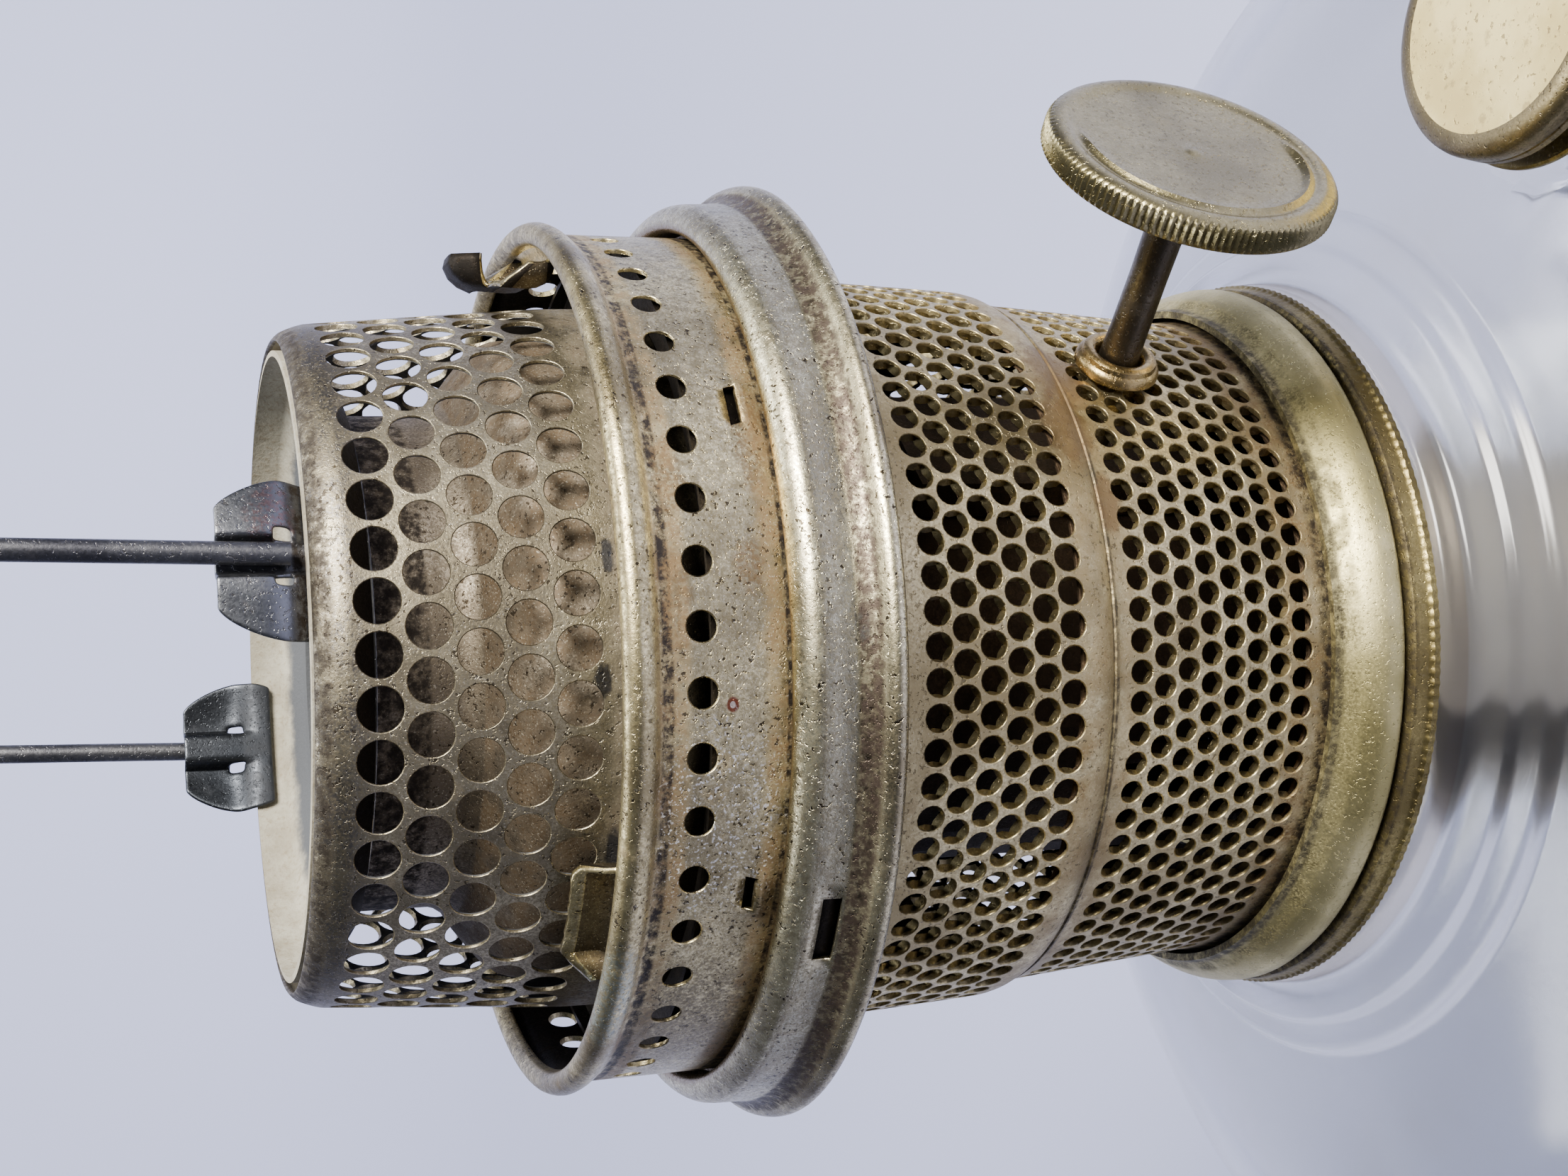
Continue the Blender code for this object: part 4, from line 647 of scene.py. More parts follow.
def build_font():
    lower = [sin(pi / 2 * (0.36 + 0.64 * step / 22)) for step in range(23)]
    upper = [sin(pi / 2 * (1 - step / 24)) for step in range(1, 18)]
    path = soften([(0.0, 5.0), (20.0, 5.0), (40.0, 4.6), (46.0, 3.0), (49.5, 0.2)], 3)[1:]
    path += [(50.5, 0.0), (58.0, 0.0), (59.4, 0.5), (60.0, 1.6), (60.0, 4.9), (59.5, 6.0), (58.4, 6.5)]
    path += [(55.0, 8.6), (51.5, 11.2), (49.4, 13.6), (48.6, 16.0), (49.4, 19.4)]
    path += [point for point in bowl(lower, 88.0, -44.0) if point[0] > 51.0]
    path += [point for point in bowl(upper, 88.0, 47.4) if point[0] > 38.9]
    path += [(38.6, 100.6), (38.25, 101.2), (37.9, 101.55), (37.3, 101.8), (35.9, 102.05), (35.5, 102.35),
             (35.3, 102.8), (34.9, 103.05), (33.2, 103.3), (32.1, 103.6), (31.75, 104.1), (31.7, 105.6),
             (31.4, 106.05), (30.9, 106.2), (29.2, 106.2), (29.0, 106.5), (29.0, 107.8), (28.7, 108.0),
             (25.4, 108.0), (25.2, 107.7), (25.2, 104.0), (25.6, 101.8), (27.2, 100.0)]
    inside = [sin(pi / 2 * (0.26 + 0.74 * step / 18)) for step in range(1, 19)]
    path += [point for point in bowl(inside, 84.0, 43.4) if point[0] > 36.0]
    path += bowl(inside[-2::-1], 84.0, -40.0) + [(20.0, 19.1), (0.0, 18.0)]
    mesh = bmesh.new()
    sweep(mesh, [(0.0, 5.0)] + path, evenly(160))
    outward(mesh)
    font = piece("font_glass", mesh, GLASS, "font", "clear_glass", "glass_font", flat_angle=60.0)
    place = on_axis(FILLER_AZIMUTH, FILLER_HEIGHT, FILLER_TILT, FILLER_REACH)
    for operation, radius, low, high in (("UNION", 12.6, -6.6, 2.6), ("DIFFERENCE", 8.6, -11.0, 6.0)):
        tool = bmesh.new()
        ease = 0.7 if operation == "UNION" else 0.0
        outline = [(0.0, low), (radius, low), (radius, high - ease), (radius - ease, high), (0.0, high)]
        sweep(tool, outline, evenly(64))
        bmesh.ops.remove_doubles(tool, verts=tool.verts, dist=1e-6)
        outward(tool)
        reshape(font, tool, place, operation)
    font.data.shade_smooth()
    font.data.set_sharp_from_angle(angle=radians(60.0))


def build_collar():
    def milling(radius, azimuth, height):
        if radius < 31.3 or height > 107.6:
            return radius, height
        return radius - 0.12 * (0.5 - 0.5 * cos(radians(azimuth * COLLAR_TEETH))), height

    outer = [(30.9, 106.53), (31.4, 106.53), (31.55, 106.65), (31.55, 107.15), (31.4, 107.3), (31.2, 107.6),
             (31.18, 108.2), (31.1, 108.6), (30.8, 108.85), (30.2, 108.92), (24.0, 108.92), (24.0, 102.95)]
    inner = [(24.6, 102.95), (24.6, 108.32), (30.0, 108.32), (30.5, 108.1), (30.6, 107.4), (30.7, 106.9)]
    turned("collar_ring", outer + inner, BRASS, "font", "olive_brass", "font_collar",
           count=COLLAR_TEETH * 4, change=milling)


def build_filler():
    place = on_axis(FILLER_AZIMUTH, FILLER_HEIGHT, FILLER_TILT, FILLER_REACH)

    def thread(radius, azimuth, height):
        if radius < 9.2 or height < 3.6 or radius > 9.8:
            return radius, height
        share = ((height - 3.6) / FILLER_THREAD_PITCH - azimuth / 360) % 1.0
        return radius - 0.5 * abs(2 * share - 1), height

    outline = [(8.2, -3.0), (8.2, 2.9), (11.2, 2.9), (11.4, 3.05), (11.4, 3.35), (11.2, 3.5)]
    outline += [(9.7, 3.5 + 0.1 * step) for step in range(25)]
    outline += [(9.3, 5.9), (7.3, 5.9), (7.0, 5.7), (7.0, -3.0)]
    turned("filler_spout", outline, BRASS, "font", "olive_brass", "filler_neck", count=120, change=thread,
           place=place)
    lid = [(0.0, 7.2), (9.6, 7.2), (10.0, 6.9), (10.0, 5.5), (10.2, 5.4), (11.1, 5.4), (11.3, 5.55),
           (11.3, 6.1), (11.2, 6.2), (11.3, 6.35), (11.3, 7.35), (11.2, 7.75), (10.9, 8.1), (10.4, 8.32),
           (9.8, 8.4), (9.5, 8.38), (6.0, 8.34), (0.0, 8.34)]
    mesh = bmesh.new()
    sweep(mesh, lid, evenly(120), wavering(0.04, 3.0, 6.0))
    outward(mesh)
    # Edge faces take the second material, a darker copy of the lid's finish: painted shade.
    for face in mesh.faces:
        radius, _, height = middle_of(face)
        if radius > 9.3 or height < 8.2:
            face.material_index = 1
    lid = piece("filler_lid_shell", mesh, CAP, "filler_lid", "aged_nickel", "filler_cap", place=place)
    lid.data.materials.append(CAP_EDGE.made)


def cap_finish():
    """Cream plating on the flat top, brightened as a painted highlight, with brown rust and pits; the lid's
    edge takes CAP_EDGE, a darker copy, as painted shade.
    """
    f = Finish("cap_nickel", metallic=0.6)
    clouds = f.noise(7.0, 4.0, 0.6)
    pits = f.step(f.noise(0.6, 3.0, 0.6), 0.6, 0.68)
    rust = f.step(f.noise(1.6, 5.0, 0.7), 0.56, 0.66)
    base = f.mix(f.step(clouds, 0.35, 0.65), (0.78, 0.61, 0.24), (0.96, 0.79, 0.35))
    base = f.mix(f.times(rust, 0.5), base, (0.32, 0.22, 0.1))
    base = f.mix(f.times(pits, 0.7), base, (0.1, 0.07, 0.04))
    f.color(base)
    f.rough(f.plus(pits, f.times(clouds, 0.5)), 0.3, 0.6)
    f.bump(pits, -0.06, 0.6)
    f.bump(f.noise(0.8, 3.0, 0.6), 0.04, 0.4)
    return f


CAP = cap_finish()
# A darker copy of the lid's finish for its edge: painted shade.
CAP_EDGE = aged_metal("cap_edge", (0.35, 0.285, 0.15), (0.17, 0.135, 0.07), (0.1, 0.075, 0.04), (0.36, 0.6),
                      spots=0.6, tarnish=0.4, flecks=0.1)


# Burner
def build_base():
    outer = soften([(29.2, 109.23), (30.4, 109.3), (31.0, 109.6), (31.1, 110.4), (30.95, 111.2),
                    (30.45, 112.2), (29.8, 113.1), (29.3, 113.8), (29.1, 114.5)], 4)
    thread = [(23.6 if step % 4 < 2 else 23.3, 103.5 + 0.25 * step) for step in range(20)]
    inner = [(28.5, 114.5), (28.7, 113.6), (29.3, 112.7), (30.2, 111.2), (30.3, 110.2), (29.0, 109.83),
             (23.0, 109.83), (23.0, 103.5)]
    turned("base_ring", thread + outer + inner, BASE, "burner", "olive_brass", "burner_base", count=180,
           change=wavering(0.1, 5.0, 9.0))


def build_basket():
    mesh = bmesh.new()

    def lower(height):
        return 28.1 + (height - 116.77) * (29.2 - 28.1) / 14.6

    def upper(height):
        return 30.4 + (height - 137.6) * 0.5 / 10.9

    lower_rows = [116.77 + 2.086 * row for row in range(8)]
    upper_rows = [137.6 + 2.18 * row for row in range(6)]
    low_a, high_a = tier(mesh, lower, lower_rows, 78, 1.6, 0.9)
    low_b, high_b = tier(mesh, upper, upper_rows, 76, 1.8, 1.02)
    foot = sweep(mesh, [(28.3, 112.4), (28.2, 113.6), (28.05, 114.8), (28.0, 115.3)],
                 [azimuth for azimuth, _ in low_a])
    stitch(mesh, foot[-1], low_a)
    waist = [(29.33, 132.75), (29.36, 133.1), (29.5, 133.5), (29.62, 133.72), (29.52, 133.85),
             (29.64, 133.98), (29.85, 134.3), (30.12, 134.9), (30.28, 135.6), (30.33, 136.1)]
    middle = sweep(mesh, waist, [azimuth for azimuth, _ in high_a])
    stitch(mesh, high_a, middle[0])
    stitch(mesh, middle[-1], low_b)
    top = sweep(mesh, [(30.97, 150.2), (31.0, 151.5), (31.0, 154.1), (31.2, 154.35), (32.9, 154.4)],
                [azimuth for azimuth, _ in high_b])
    stitch(mesh, high_b, top[0])
    thicken(piece("basket_sheet", mesh, BASKET, "burner", "tan_nickel", "burner_basket"), 1.0, INNER)


def join(mesh, before, after, material=0):
    """The faces between two rows of vertices."""
    for k in range(len(after) - 1):
        face = mesh.faces.new((before[k], before[k + 1], after[k + 1], after[k]))
        face.material_index = material


def slot_shade_patch(mesh, radius, azimuths, heights):
    """A dark patch just behind a slot, painted shade, in the sheet's second material."""
    count = 12
    turns = [azimuths[0] + (azimuths[1] - azimuths[0]) * step / count for step in range(count + 1)]
    low, high = ([mesh.verts.new(at(radius, turn, height)) for turn in turns] for height in heights)
    join(mesh, low, high, 1)


def build_flange():
    azimuths = sorted(set(evenly(180) + list(FLANGE_SLOT)))
    mesh = bmesh.new()
    path = [(31.4, 153.65), (36.6, 153.65)]
    path += soften([(37.2, 153.65), (37.9, 153.8), (38.3, 154.15), (38.33, 154.6), (38.15, 155.0),
                    (37.75, 155.4), (37.3, 155.85), (36.98, 156.5), (36.8, 157.1)], 3)
    path += [(36.75, 158.5)]
    path += soften([(36.72, 159.2), (36.6, 159.8), (36.25, 160.35), (35.7, 160.8), (35.15, 161.0),
                    (34.7, 160.95), (34.45, 160.6)], 3)
    path += [(34.4, 159.0), (34.35, 158.5), (34.0, 158.35), (32.3, 158.35)]
    sweep(mesh, path, azimuths, wavering(0.12, 11.0))
    start, end = FLANGE_SLOT
    slot = []
    for face in mesh.faces:
        radius, azimuth, height = middle_of(face)
        if radius > 36.0 and start < azimuth < end and 157.12 < height < 158.45:
            slot.append(face)
    bmesh.ops.delete(mesh, geom=slot, context="FACES")
    # A dark patch behind the slot: painted shade.
    slot_shade_patch(mesh, 36.2, (start - 0.5, end + 0.5), (156.8, 158.8))
    # The flange's inner side takes the near-black finish: painted shade.
    thicken(piece("flange_sheet", mesh, FLANGE, "burner", "aged_nickel", "burner_flange"), 0.45, PAINTED_SHADE)


def build_bushing():
    place = on_axis(KNOB_AZIMUTH, SHAFT_HEIGHT)
    outline = [(1.9, 26.05), (2.4, 26.05), (2.4, 29.34), (3.3, 29.34), (3.42, 29.5), (3.4, 29.9),
               (3.25, 30.2), (3.05, 30.35), (2.95, 30.7), (2.7, 30.9), (2.35, 30.93), (2.1, 30.8),
               (1.9, 30.5)]
    turned("bushing_ring", outline, BUSHING, "burner", "inner_brass", "shaft_bushing", count=64,
           place=place)


def build_knob():
    place = on_axis(KNOB_AZIMUTH, SHAFT_HEIGHT)

    def serrated(radius, azimuth, height):
        if radius < 11.0 or height > 48.45:
            return radius, height
        return radius - 0.24 * (0.5 - 0.5 * cos(radians(azimuth * KNOB_TEETH))), height

    def face(radius, azimuth, height):
        if 7.6 < radius < 9.5:
            # X of the knob's frame points away from the camera, so the ridge is on the side of -X.
            around = abs((azimuth - 270.0 + 180) % 360 - 180)
            share = smooth_step(112.0, 84.0, around)
            height += 0.42 * share * max(0.0, 1 - abs(radius - 8.7) / 0.5)
        return radius, height

    mesh = bmesh.new()
    back = sweep(mesh, [(0.0, 45.2), (2.9, 45.2), (3.2, 45.45), (3.2, 46.4), (3.5, 46.6)],
                 evenly(KNOB_TEETH // 2))
    edge = [(10.6, 46.6), (10.95, 46.72), (11.2, 47.0), (11.2, 47.4), (11.2, 47.8), (11.2, 48.15),
            (11.1, 48.42), (10.9, 48.66), (10.6, 48.85), (10.25, 48.97), (10.0, 49.0)]
    rim = sweep(mesh, edge, evenly(KNOB_TEETH * 4), serrated)
    dish = [(9.7, 48.97), (9.5, 48.9), (9.3, 48.8), (9.1, 48.74), (8.9, 48.72), (8.7, 48.71), (8.5, 48.7),
            (8.3, 48.7), (8.1, 48.69), (7.0, 48.67), (5.0, 48.65), (2.0, 48.64), (0.8, 48.64), (0.6, 48.68),
            (0.4, 48.76), (0.2, 48.8), (0.0, 48.81)]
    front = sweep(mesh, dish, evenly(KNOB_TEETH), face)
    stitch(mesh, back[-1], rim[0])
    stitch(mesh, rim[-1], front[0])
    piece("knob_disc", mesh, KNOB, "raiser", "aged_nickel", "wick_knob", place=place)
    stem = [(0.0, 20.65), (1.45, 20.65), (1.6, 20.8), (1.6, 30.4), (1.52, 33.0), (1.5, 38.0),
            (1.55, 42.5), (1.6, 44.2), (1.6, 44.85), (0.0, 44.85)]
    mesh = bmesh.new()
    sweep(mesh, stem, evenly(40), wavering(0.05, 21.0, 3.0))
    piece("knob_stem", mesh, STEM, "raiser", "dark_steel", "knob_shaft", place=place)


def build_spreader():
    mesh = bmesh.new()
    rows = [178.6 + 1.5 * row for row in range(5)]
    low, high = tier(mesh, lambda height: 12.4, rows, 36, 0.0, 0.55)
    azimuths = [azimuth for azimuth, _ in low]
    skirt = sweep(mesh, [(13.35, 166.0), (13.35, 174.8), (13.5, 175.2), (14.2, 175.3), (14.4, 175.5),
                         (14.4, 176.3), (14.2, 176.5), (12.9, 176.6), (12.5, 176.9), (12.4, 177.3)],
                  azimuths)
    crown = sweep(mesh, [(12.4, 185.6), (12.3, 186.3), (11.9, 187.0), (11.2, 187.4), (10.2, 187.5),
                         (6.0, 187.45), (0.0, 187.4)], azimuths)
    stitch(mesh, skirt[-1], low)
    stitch(mesh, high, crown[0])
    thicken(piece("spreader_thimble", mesh, STEEL, "spreader", "dark_steel", "flame_spreader"), 0.4)


# Wick
def build_wick():
    """A ribbed woven tube, split into two tails under the ducts."""
    def ribbed(radius, azimuth, height):
        rib = 0.06 * sin(radians(azimuth * 60)) + 0.1 * noise.noise(at(radius, azimuth, height) / (5 * MM))
        return radius + (rib - 0.12 if radius > 16.0 else rib + 0.12), height

    top, low = 177.3, 40.0
    outline = [(16.8, low + (top - low) * step / 68) for step in range(69)]
    outline += [(16.6, 177.42), (15.9, 177.3), (15.1, 177.42)]
    outline += [(14.8, top - (top - low) * step / 68) for step in range(69)]
    mesh = bmesh.new()
    sweep(mesh, outline, evenly(240), ribbed, closed=True)
    outward(mesh)
    wick = piece("wick_tube", mesh, COTTON, "carriage", "cotton", "wick", flat_angle=70.0)
    tool = bmesh.new()
    half, reach, floor, ceiling = 5.2, 20.0, 37.0, 128.2
    corners = [(x, y, z) for x in (-half, half) for y in (-reach, reach) for z in (floor, ceiling)]
    bmesh.ops.create_cube(tool, size=1.0)
    for vertex in tool.verts:
        index = (vertex.co.x > 0) * 4 + (vertex.co.y > 0) * 2 + (vertex.co.z > 0)
        vertex.co = Vector(corners[index]) * MM
    reshape(wick, tool, Matrix.Rotation(radians(KNOB_AZIMUTH - 90), 4, "Z"), "DIFFERENCE")


# Gallery
def build_gallery():
    mesh = bmesh.new()
    low, high = tier(mesh, lambda height: BAND_RADIUS, [167.0], 48, 2.75, 1.05, side=8)
    azimuths = [azimuth for azimuth, _ in low]

    def tongue(radius, azimuth, height):
        for start, end in BAND_SLITS:
            if start - 0.6 < azimuth < end + 0.6 and 161.0 < height < 162.9:
                radius += 0.45 * smooth_step(161.2, 162.5, height)
        return radius, height

    levels = (158.7, 160.0, 161.2, 161.9, 162.5, 163.3, 164.2)
    foot = sweep(mesh, [(BAND_RADIUS, height) for height in levels], azimuths, tongue)
    slits = []
    for face in mesh.faces:
        _, azimuth, height = middle_of(face)
        if 162.52 < height < 163.28 and any(start < azimuth < end for start, end in BAND_SLITS):
            slits.append(face)
    bmesh.ops.delete(mesh, geom=slits, context="FACES_ONLY")
    # Dark patches behind the slits: painted shade.
    for start, end in BAND_SLITS:
        slot_shade_patch(mesh, 33.35, (start - 1.0, end + 1.0), (162.2, 163.6))
    stitch(mesh, foot[-1], low)
    bead = soften([(BAND_RADIUS, 169.3), (34.12, 169.9), (34.6, 170.5), (34.9, 171.3), (34.7, 172.05),
                   (34.15, 172.45), (33.55, 172.45), (33.1, 172.05), (LIP_RADIUS, LIP_HEIGHT)], 3)
    upper = sweep(mesh, bead, azimuths)
    stitch(mesh, high, upper[0])
    for middle in LUG_AZIMUTHS:
        add_lug(mesh, upper[-1], middle)
    band = piece("gallery_shell", mesh, NICKEL, "gallery", "aged_nickel", "gallery_band")
    # The second material is the near-black finish: painted shade on the band's inner side and behind the
    # slits.
    band.data.materials.append(PAINTED_SHADE.made)
    thicken(band, SHEET, LUG)
    floor = [(25.0, 163.4), (28.95, 163.4), (29.05, 163.5), (29.05, 164.3), (29.15, 164.4), (33.05, 164.4),
             (33.2, 164.55), (33.2, 166.1), (32.75, 166.1), (32.7, 164.95), (32.6, 164.87), (28.7, 164.87),
             (28.6, 164.77), (28.6, 163.95), (28.5, 163.86), (25.0, 163.86)]
    # The trough's floor takes the near-black finish: painted shade in the trough.
    turned("gallery_plate", floor, PAINTED_SHADE, "gallery", "aged_nickel", "gallery_floor")


def add_lug(mesh, lip, middle):
    """A tongue of the bead's lip, drawn inward and turned up, with a ragged edge."""
    turns = [((azimuth - middle + 180) % 360 - 180, azimuth, vertex) for azimuth, vertex in lip]
    chosen = sorted(row for row in turns if abs(row[0]) < LUG_HALF_WIDTH)
    rows = [(0.5, -0.35), (1.2, -0.6), (1.9, -0.55), (2.4, -0.2), (2.68, 0.4), (2.75, 1.2), (2.7, 2.2),
            (2.65, LUG_RISE)]
    before = [vertex for _, _, vertex in chosen]
    for inward, rise in rows:
        level = []
        for offset, azimuth, _ in chosen:
            fade = 0.12 + 0.88 * smooth_step(LUG_HALF_WIDTH, LUG_HALF_WIDTH - 2.4, abs(offset))
            lift = fade if rise > 0.3 else 1.0
            ragged = 0.32 * noise.noise(Vector((azimuth * 1.7, rise, middle))) if rise > 3.0 else 0.0
            level.append(mesh.verts.new(at(LIP_RADIUS - inward * fade, azimuth,
                                           LIP_HEIGHT + rise * lift + ragged)))
        join(mesh, before, level, 2 if 0.3 < rise < 3.0 else 0)
        before = level
    if middle == CURLED_LUG:
        # This one's far corner is bent up and curled outward.
        far = [(offset, azimuth, vertex) for (offset, azimuth, _), vertex in zip(chosen, before)
               if offset > 1.5]
        before = [vertex for _, _, vertex in far]
        for inward, rise in ((2.5, 3.9), (2.15, 4.7), (1.6, 5.3), (0.9, 5.6), (0.35, 5.45)):
            level = []
            for offset, azimuth, _ in far:
                bent = (rise - LUG_RISE) * smooth_step(1.0, 5.5, offset)
                level.append(mesh.verts.new(at(LIP_RADIUS - inward, azimuth,
                                               LIP_HEIGHT + LUG_RISE + bent)))
            join(mesh, before, level)
            before = level


def build_cones():
    def slope(height):
        return 27.85 + (height - 173.85) * (26.72 - 27.85) / (187.28 - 173.85)

    mesh = bmesh.new()
    rows = [173.85 + 3.3575 * row for row in range(5)]
    low, high = tier(mesh, slope, rows, 46, 1.0, 1.575, side=6, lip=0.07)
    azimuths = [azimuth for azimuth, _ in low]
    foot = sweep(mesh, [(28.15, 164.2), (28.15, 168.0), (28.1, 170.5), (28.02, 171.7)], azimuths)
    stitch(mesh, foot[-1], low)
    rim = sweep(mesh, soften([(26.55, 189.2), (26.42, 189.7), (26.2, 190.3), (25.9, 190.95),
                              (25.5, 191.35), (25.3, 191.45)], 2), azimuths)
    stitch(mesh, high, rim[0])
    thicken(piece("cone_sheet", mesh, CONE, "gallery", "aged_nickel", "outer_cone"), SHEET, DEPOSIT)
    path = [(26.2, 164.2), (25.95, 168.0), (25.6, 173.0), (25.45, 174.4), (25.2, 175.1), (24.4, 176.1),
            (23.2, 177.1), (21.9, 178.1), (20.6, 178.9), (20.3, 179.1), (20.05, 179.5), (19.7, 180.0),
            (19.52, 180.6), (19.5, 182.0), (19.48, 186.45)]
    inner = [(19.05, 186.45), (19.1, 180.4), (19.4, 179.6), (20.1, 178.75), (21.5, 177.85), (22.9, 176.75),
             (24.1, 175.75), (24.8, 174.9), (25.05, 174.1), (25.2, 173.0), (25.55, 168.0), (25.75, 164.2)]
    turned("deflector_cone", path + inner, DEFLECTOR, "gallery", "aged_nickel", "inner_cone")


# Mantle holder
def clip_mesh():
    """A clip about +X: a sheet with a groove for the wire, two flared wings and a window at each side."""
    mesh = bmesh.new()
    across = [0.0, 0.45, 0.85, 1.12, 1.3, 1.5, 2.0, 2.6, 3.3, 4.0, 4.6, 5.2, 5.75]
    places = [-value for value in across[:0:-1]] + across
    levels = [(190.0, 0.9, 0.0), (190.7, 0.96, 0.0), (191.3, 1.0, 0.03), (191.8, 1.0, 0.25),
              (192.3, 1.0, 0.55), (192.9, 1.0, 0.85), (193.6, 0.97, 1.0), (194.4, 0.92, 1.05),
              (195.2, 0.85, 1.05),
              (196.0, 0.76, 1.02), (196.7, 0.66, 1.0), (197.2, 0.56, 0.98), (197.5, 0.47, 0.97)]
    rows = []
    for height, width, flare in levels:
        row = []
        for place in places:
            groove = smooth_step(0.85, 1.5, abs(place))
            reach = CLIP_RADIUS + 1.25 * flare * groove
            spread = place
            if abs(place) >= 1.5:
                spread = (1.5 + (abs(place) - 1.5) * width) * (1 if place > 0 else -1)
            sag = 0.25 * smooth_step(2.0, 5.75, abs(place)) * flare
            turn = Matrix.Rotation(radians(90 + degrees(spread / CLIP_RADIUS)), 3, "Z")
            row.append(mesh.verts.new(turn @ at(reach - sag, 0.0, height)))
        rows.append(row)
    for number, (lower, upper) in enumerate(zip(rows, rows[1:])):
        for k in range(len(places) - 1):
            beside = abs((places[k] + places[k + 1]) / 2)
            if 192.2 < levels[number][0] < 193.5 and 1.2 < beside < 1.9:
                continue
            mesh.faces.new((lower[k], lower[k + 1], upper[k + 1], upper[k]))
    return mesh


def build_holder():
    path = [(19.05, 186.8), (20.8, 186.8), (21.1, 186.9), (24.3, 189.05), (24.48, 189.3), (24.5, 191.5),
            (24.05, 191.55), (24.0, 189.4), (23.8, 189.1), (21.0, 187.3), (20.7, 187.25), (19.05, 187.25)]
    ring_piece = turned("holder_ring", path, DEPOSIT, "mantle_holder", "dark_steel", "mantle_ring")
    # Faces turned downward take the near-black finish: painted shade under the ring.
    ring_piece.data.materials.append(PAINTED_SHADE.made)
    for face in ring_piece.data.polygons:
        if face.normal.z < -0.2:
            face.material_index = 1
    for name, node, turn in (("clip_near", "mantle_clip_near", 0.0),
                             ("clip_far", "mantle_clip_far", 180.0)):
        place = Matrix.Rotation(radians(HOLDER_AZIMUTH - 90 + turn), 4, "Z")
        clip = thicken(piece(name, clip_mesh(), BLUED, "mantle_holder", "blued_steel", node, place=place,
                             flat_angle=50.0), SHEET)
        finer = clip.modifiers.new("Finer", "SUBSURF")
        finer.levels = finer.render_levels = 2
    reach, leg, bottom = 24.8, 69.4, 192.573
    arch = [(reach, 0.02)] + [(reach + 0.05 * sin(step), leg * step / 8) for step in range(1, 8)]
    for step in range(49):
        angle = pi * step / 48
        arch.append((reach * cos(angle), leg + reach * sin(angle)))
    arch += [(-reach + 0.05 * sin(2 * step), leg * (8 - step) / 8) for step in range(1, 8)]
    arch += [(-reach, 0.02)]
    curve = bpy.data.curves.new("arch_wire", "CURVE")
    curve.dimensions = "3D"
    curve.bevel_depth = 0.8 * MM
    curve.bevel_resolution = 5
    curve.use_fill_caps = True
    spline = curve.splines.new("POLY")
    spline.points.add(len(arch) - 1)
    lean = Matrix.Rotation(radians(HOLDER_AZIMUTH - 90), 4, "Z") @ Matrix.Translation((0, 0, bottom * MM))
    lean = lean @ Matrix.Rotation(radians(-2.0), 4, "X")
    for point, (across, height) in zip(spline.points, arch):
        point.co = (*(lean @ Vector((across * MM, 0.0, height * MM))), 1.0)
    spline.use_smooth = True
    dress("arch_wire", curve, STEEL, "mantle_holder", "dark_steel", "mantle_arch_wire")


# Carried-over CAD nodes, stage, lights and camera
def dress_nodes():
    for finish, names in (
        (INNER, ("burner_pan", "outer_wick_tube", "inner_wick_tube", "air_duct_left", "air_duct_right",
                 "pinion_housing", "wick_pinion", "wick_rack", "wick_carrier")),
        (PLASTER, ("collar_plaster",)),
        (CORK, ("filler_gasket",)),
    ):
        for name in names:
            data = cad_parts[name].data
            data.materials.clear()
            data.materials.append(finish.made)


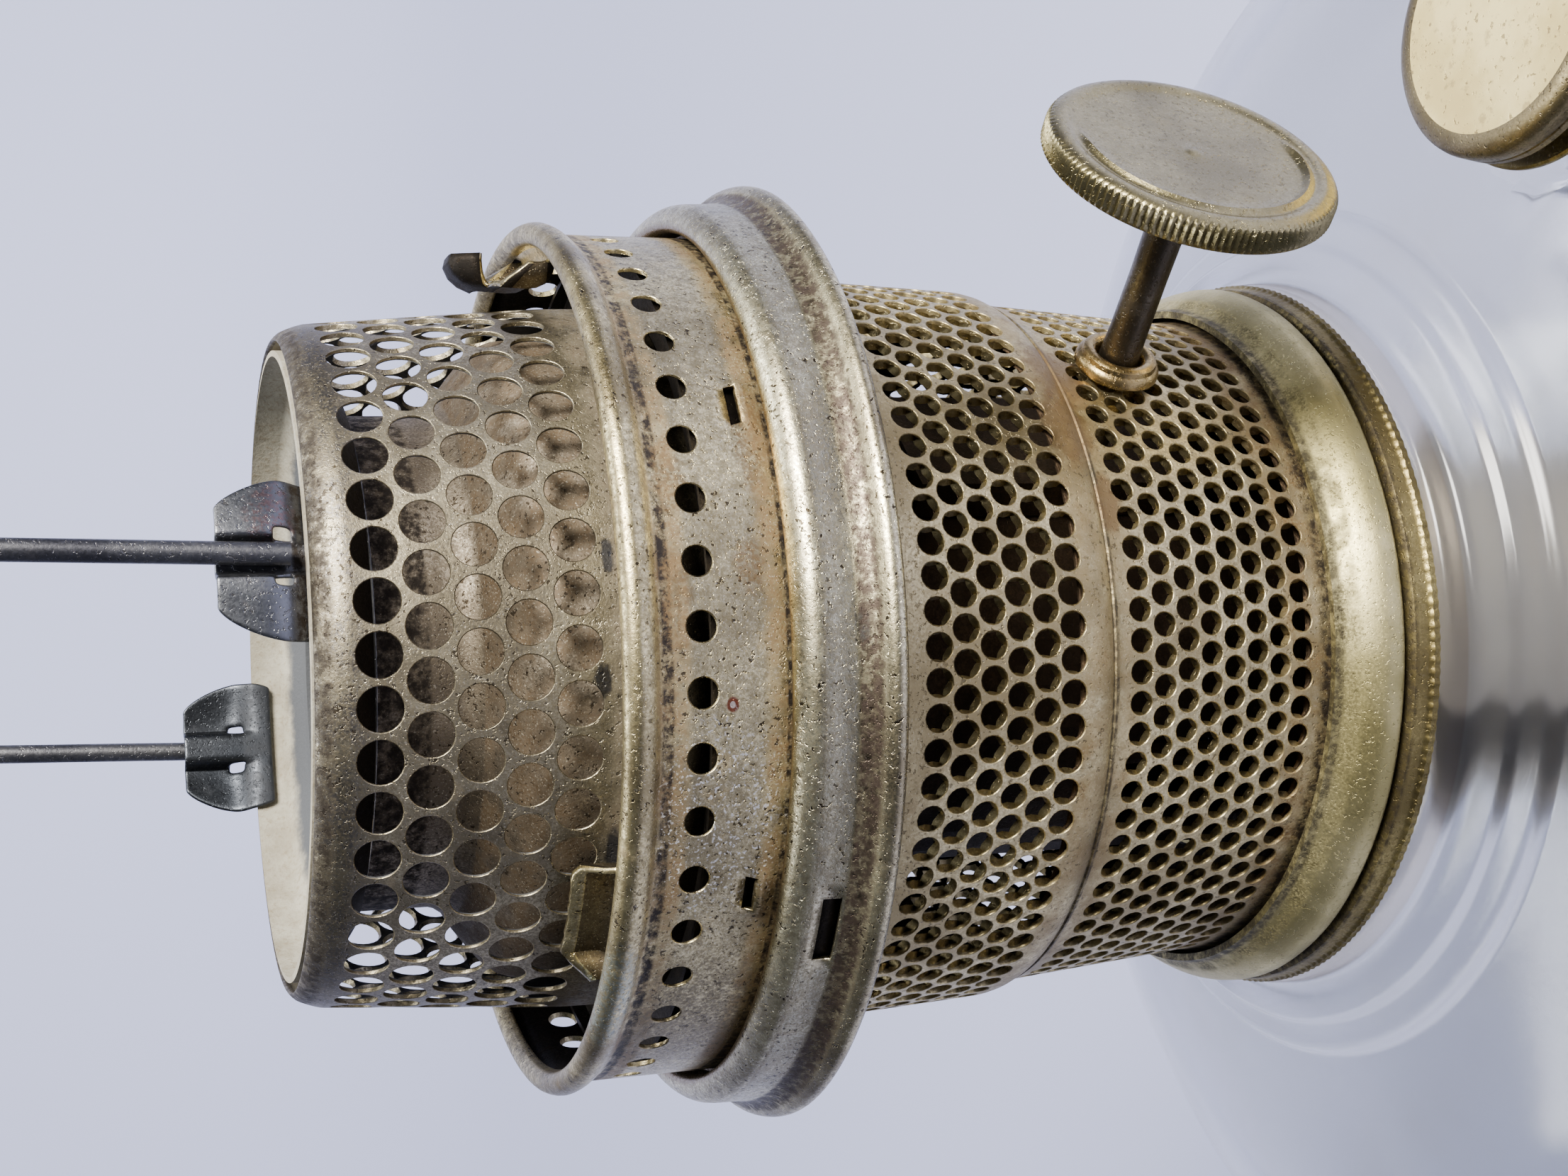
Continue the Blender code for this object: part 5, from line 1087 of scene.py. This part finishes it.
def build_stage():
    f = Finish("pale_floor", roughness=0.9)
    tone = f.noise(260.0, 2.0, 0.5)
    wall = f.mix(tone, (0.585, 0.605, 0.83), (0.61, 0.63, 0.855))
    # From 1500 mm deep towards the lamp the floor is painted darker: painted shade round the lamp.
    f.color(f.mix(f.step(f.depth, 1500.0, 500.0), wall, (0.4, 0.42, 0.59)))
    f.rough(tone, 0.85, 0.95)
    mesh = bmesh.new()
    rows = []
    bend = 900.0
    outline = [(-3000.0, 0.0), (bend, 0.0)]
    for angle in range(6, 91, 6):
        outline.append((bend + bend * sin(radians(angle)), bend - bend * cos(radians(angle))))
    outline += [(2 * bend, 3200.0)]
    for depth, height in outline:
        rows.append([mesh.verts.new((across * MM, depth * MM, height * MM)) for across in (-4000.0,
                                                                                           4000.0)])
    for low, high in zip(rows, rows[1:]):
        mesh.faces.new((low[0], low[1], high[1], high[0]))
    data = mesh_data("floor", mesh)
    data.shade_smooth()
    data.materials.append(f.made)
    floor = add_object("floor", data)


def light(name, place, target, size, power, color=(1.0, 1.0, 1.0)):
    lamp = bpy.data.lights.new(name, "AREA")
    lamp.shape = "RECTANGLE"
    lamp.size, lamp.size_y = size[0] * MM, size[1] * MM
    lamp.energy = power
    lamp.color = color
    made = add_object(name, lamp)
    made.location = Vector(place) * MM
    made.rotation_euler = (Vector(target) - Vector(place)).to_track_quat("-Z", "Y").to_euler()


def build_lights():
    world = bpy.data.worlds.new("studio")
    world.use_nodes = True
    back = world.node_tree.nodes["Background"]
    back.inputs[0].default_value = (0.7, 0.75, 0.9, 1.0)
    back.inputs[1].default_value = 0.17
    bpy.context.scene.world = world
    target = (0.0, 0.0, 150.0)
    light("key", (360.0, -430.0, 560.0), target, (280.0, 280.0), 17.0, (1.0, 0.96, 0.9))
    light("backdrop", (300.0, 350.0, 1250.0), (200.0, 1500.0, 150.0), (1400.0, 700.0), 45.0,
          (0.95, 0.97, 1.0))


def build_camera():
    pitch, yaw, roll = radians(CAMERA_PITCH), radians(CAMERA_YAW), radians(CAMERA_ROLL)
    forward = Vector((sin(yaw) * cos(pitch), cos(yaw) * cos(pitch), -sin(pitch)))
    level = Vector((cos(yaw), -sin(yaw), 0.0))
    up = level.cross(forward)
    right = cos(roll) * level + sin(roll) * up
    up = -sin(roll) * level + cos(roll) * up
    # The photograph lies on its side: its right is the lamp's foot, and its top is the lamp's +X side.
    turn = Matrix((-up, right, -forward)).transposed().to_4x4()
    turn.translation = Vector(CAMERA_PLACE) * MM
    lens = bpy.data.cameras.new("photo_camera")
    lens.lens = CAMERA_LENS
    lens.sensor_width = 36.0
    lens.clip_start = 0.01
    lens.clip_end = 20.0
    made = add_object("photo_camera", lens)
    made.matrix_world = turn
    bpy.context.scene.camera = made


build_camera()
build_font()
build_collar()
build_filler()
build_base()
build_basket()
build_flange()
build_bushing()
build_knob()
build_spreader()
build_wick()
build_gallery()
build_cones()
build_holder()
dress_nodes()
build_stage()
build_lights()
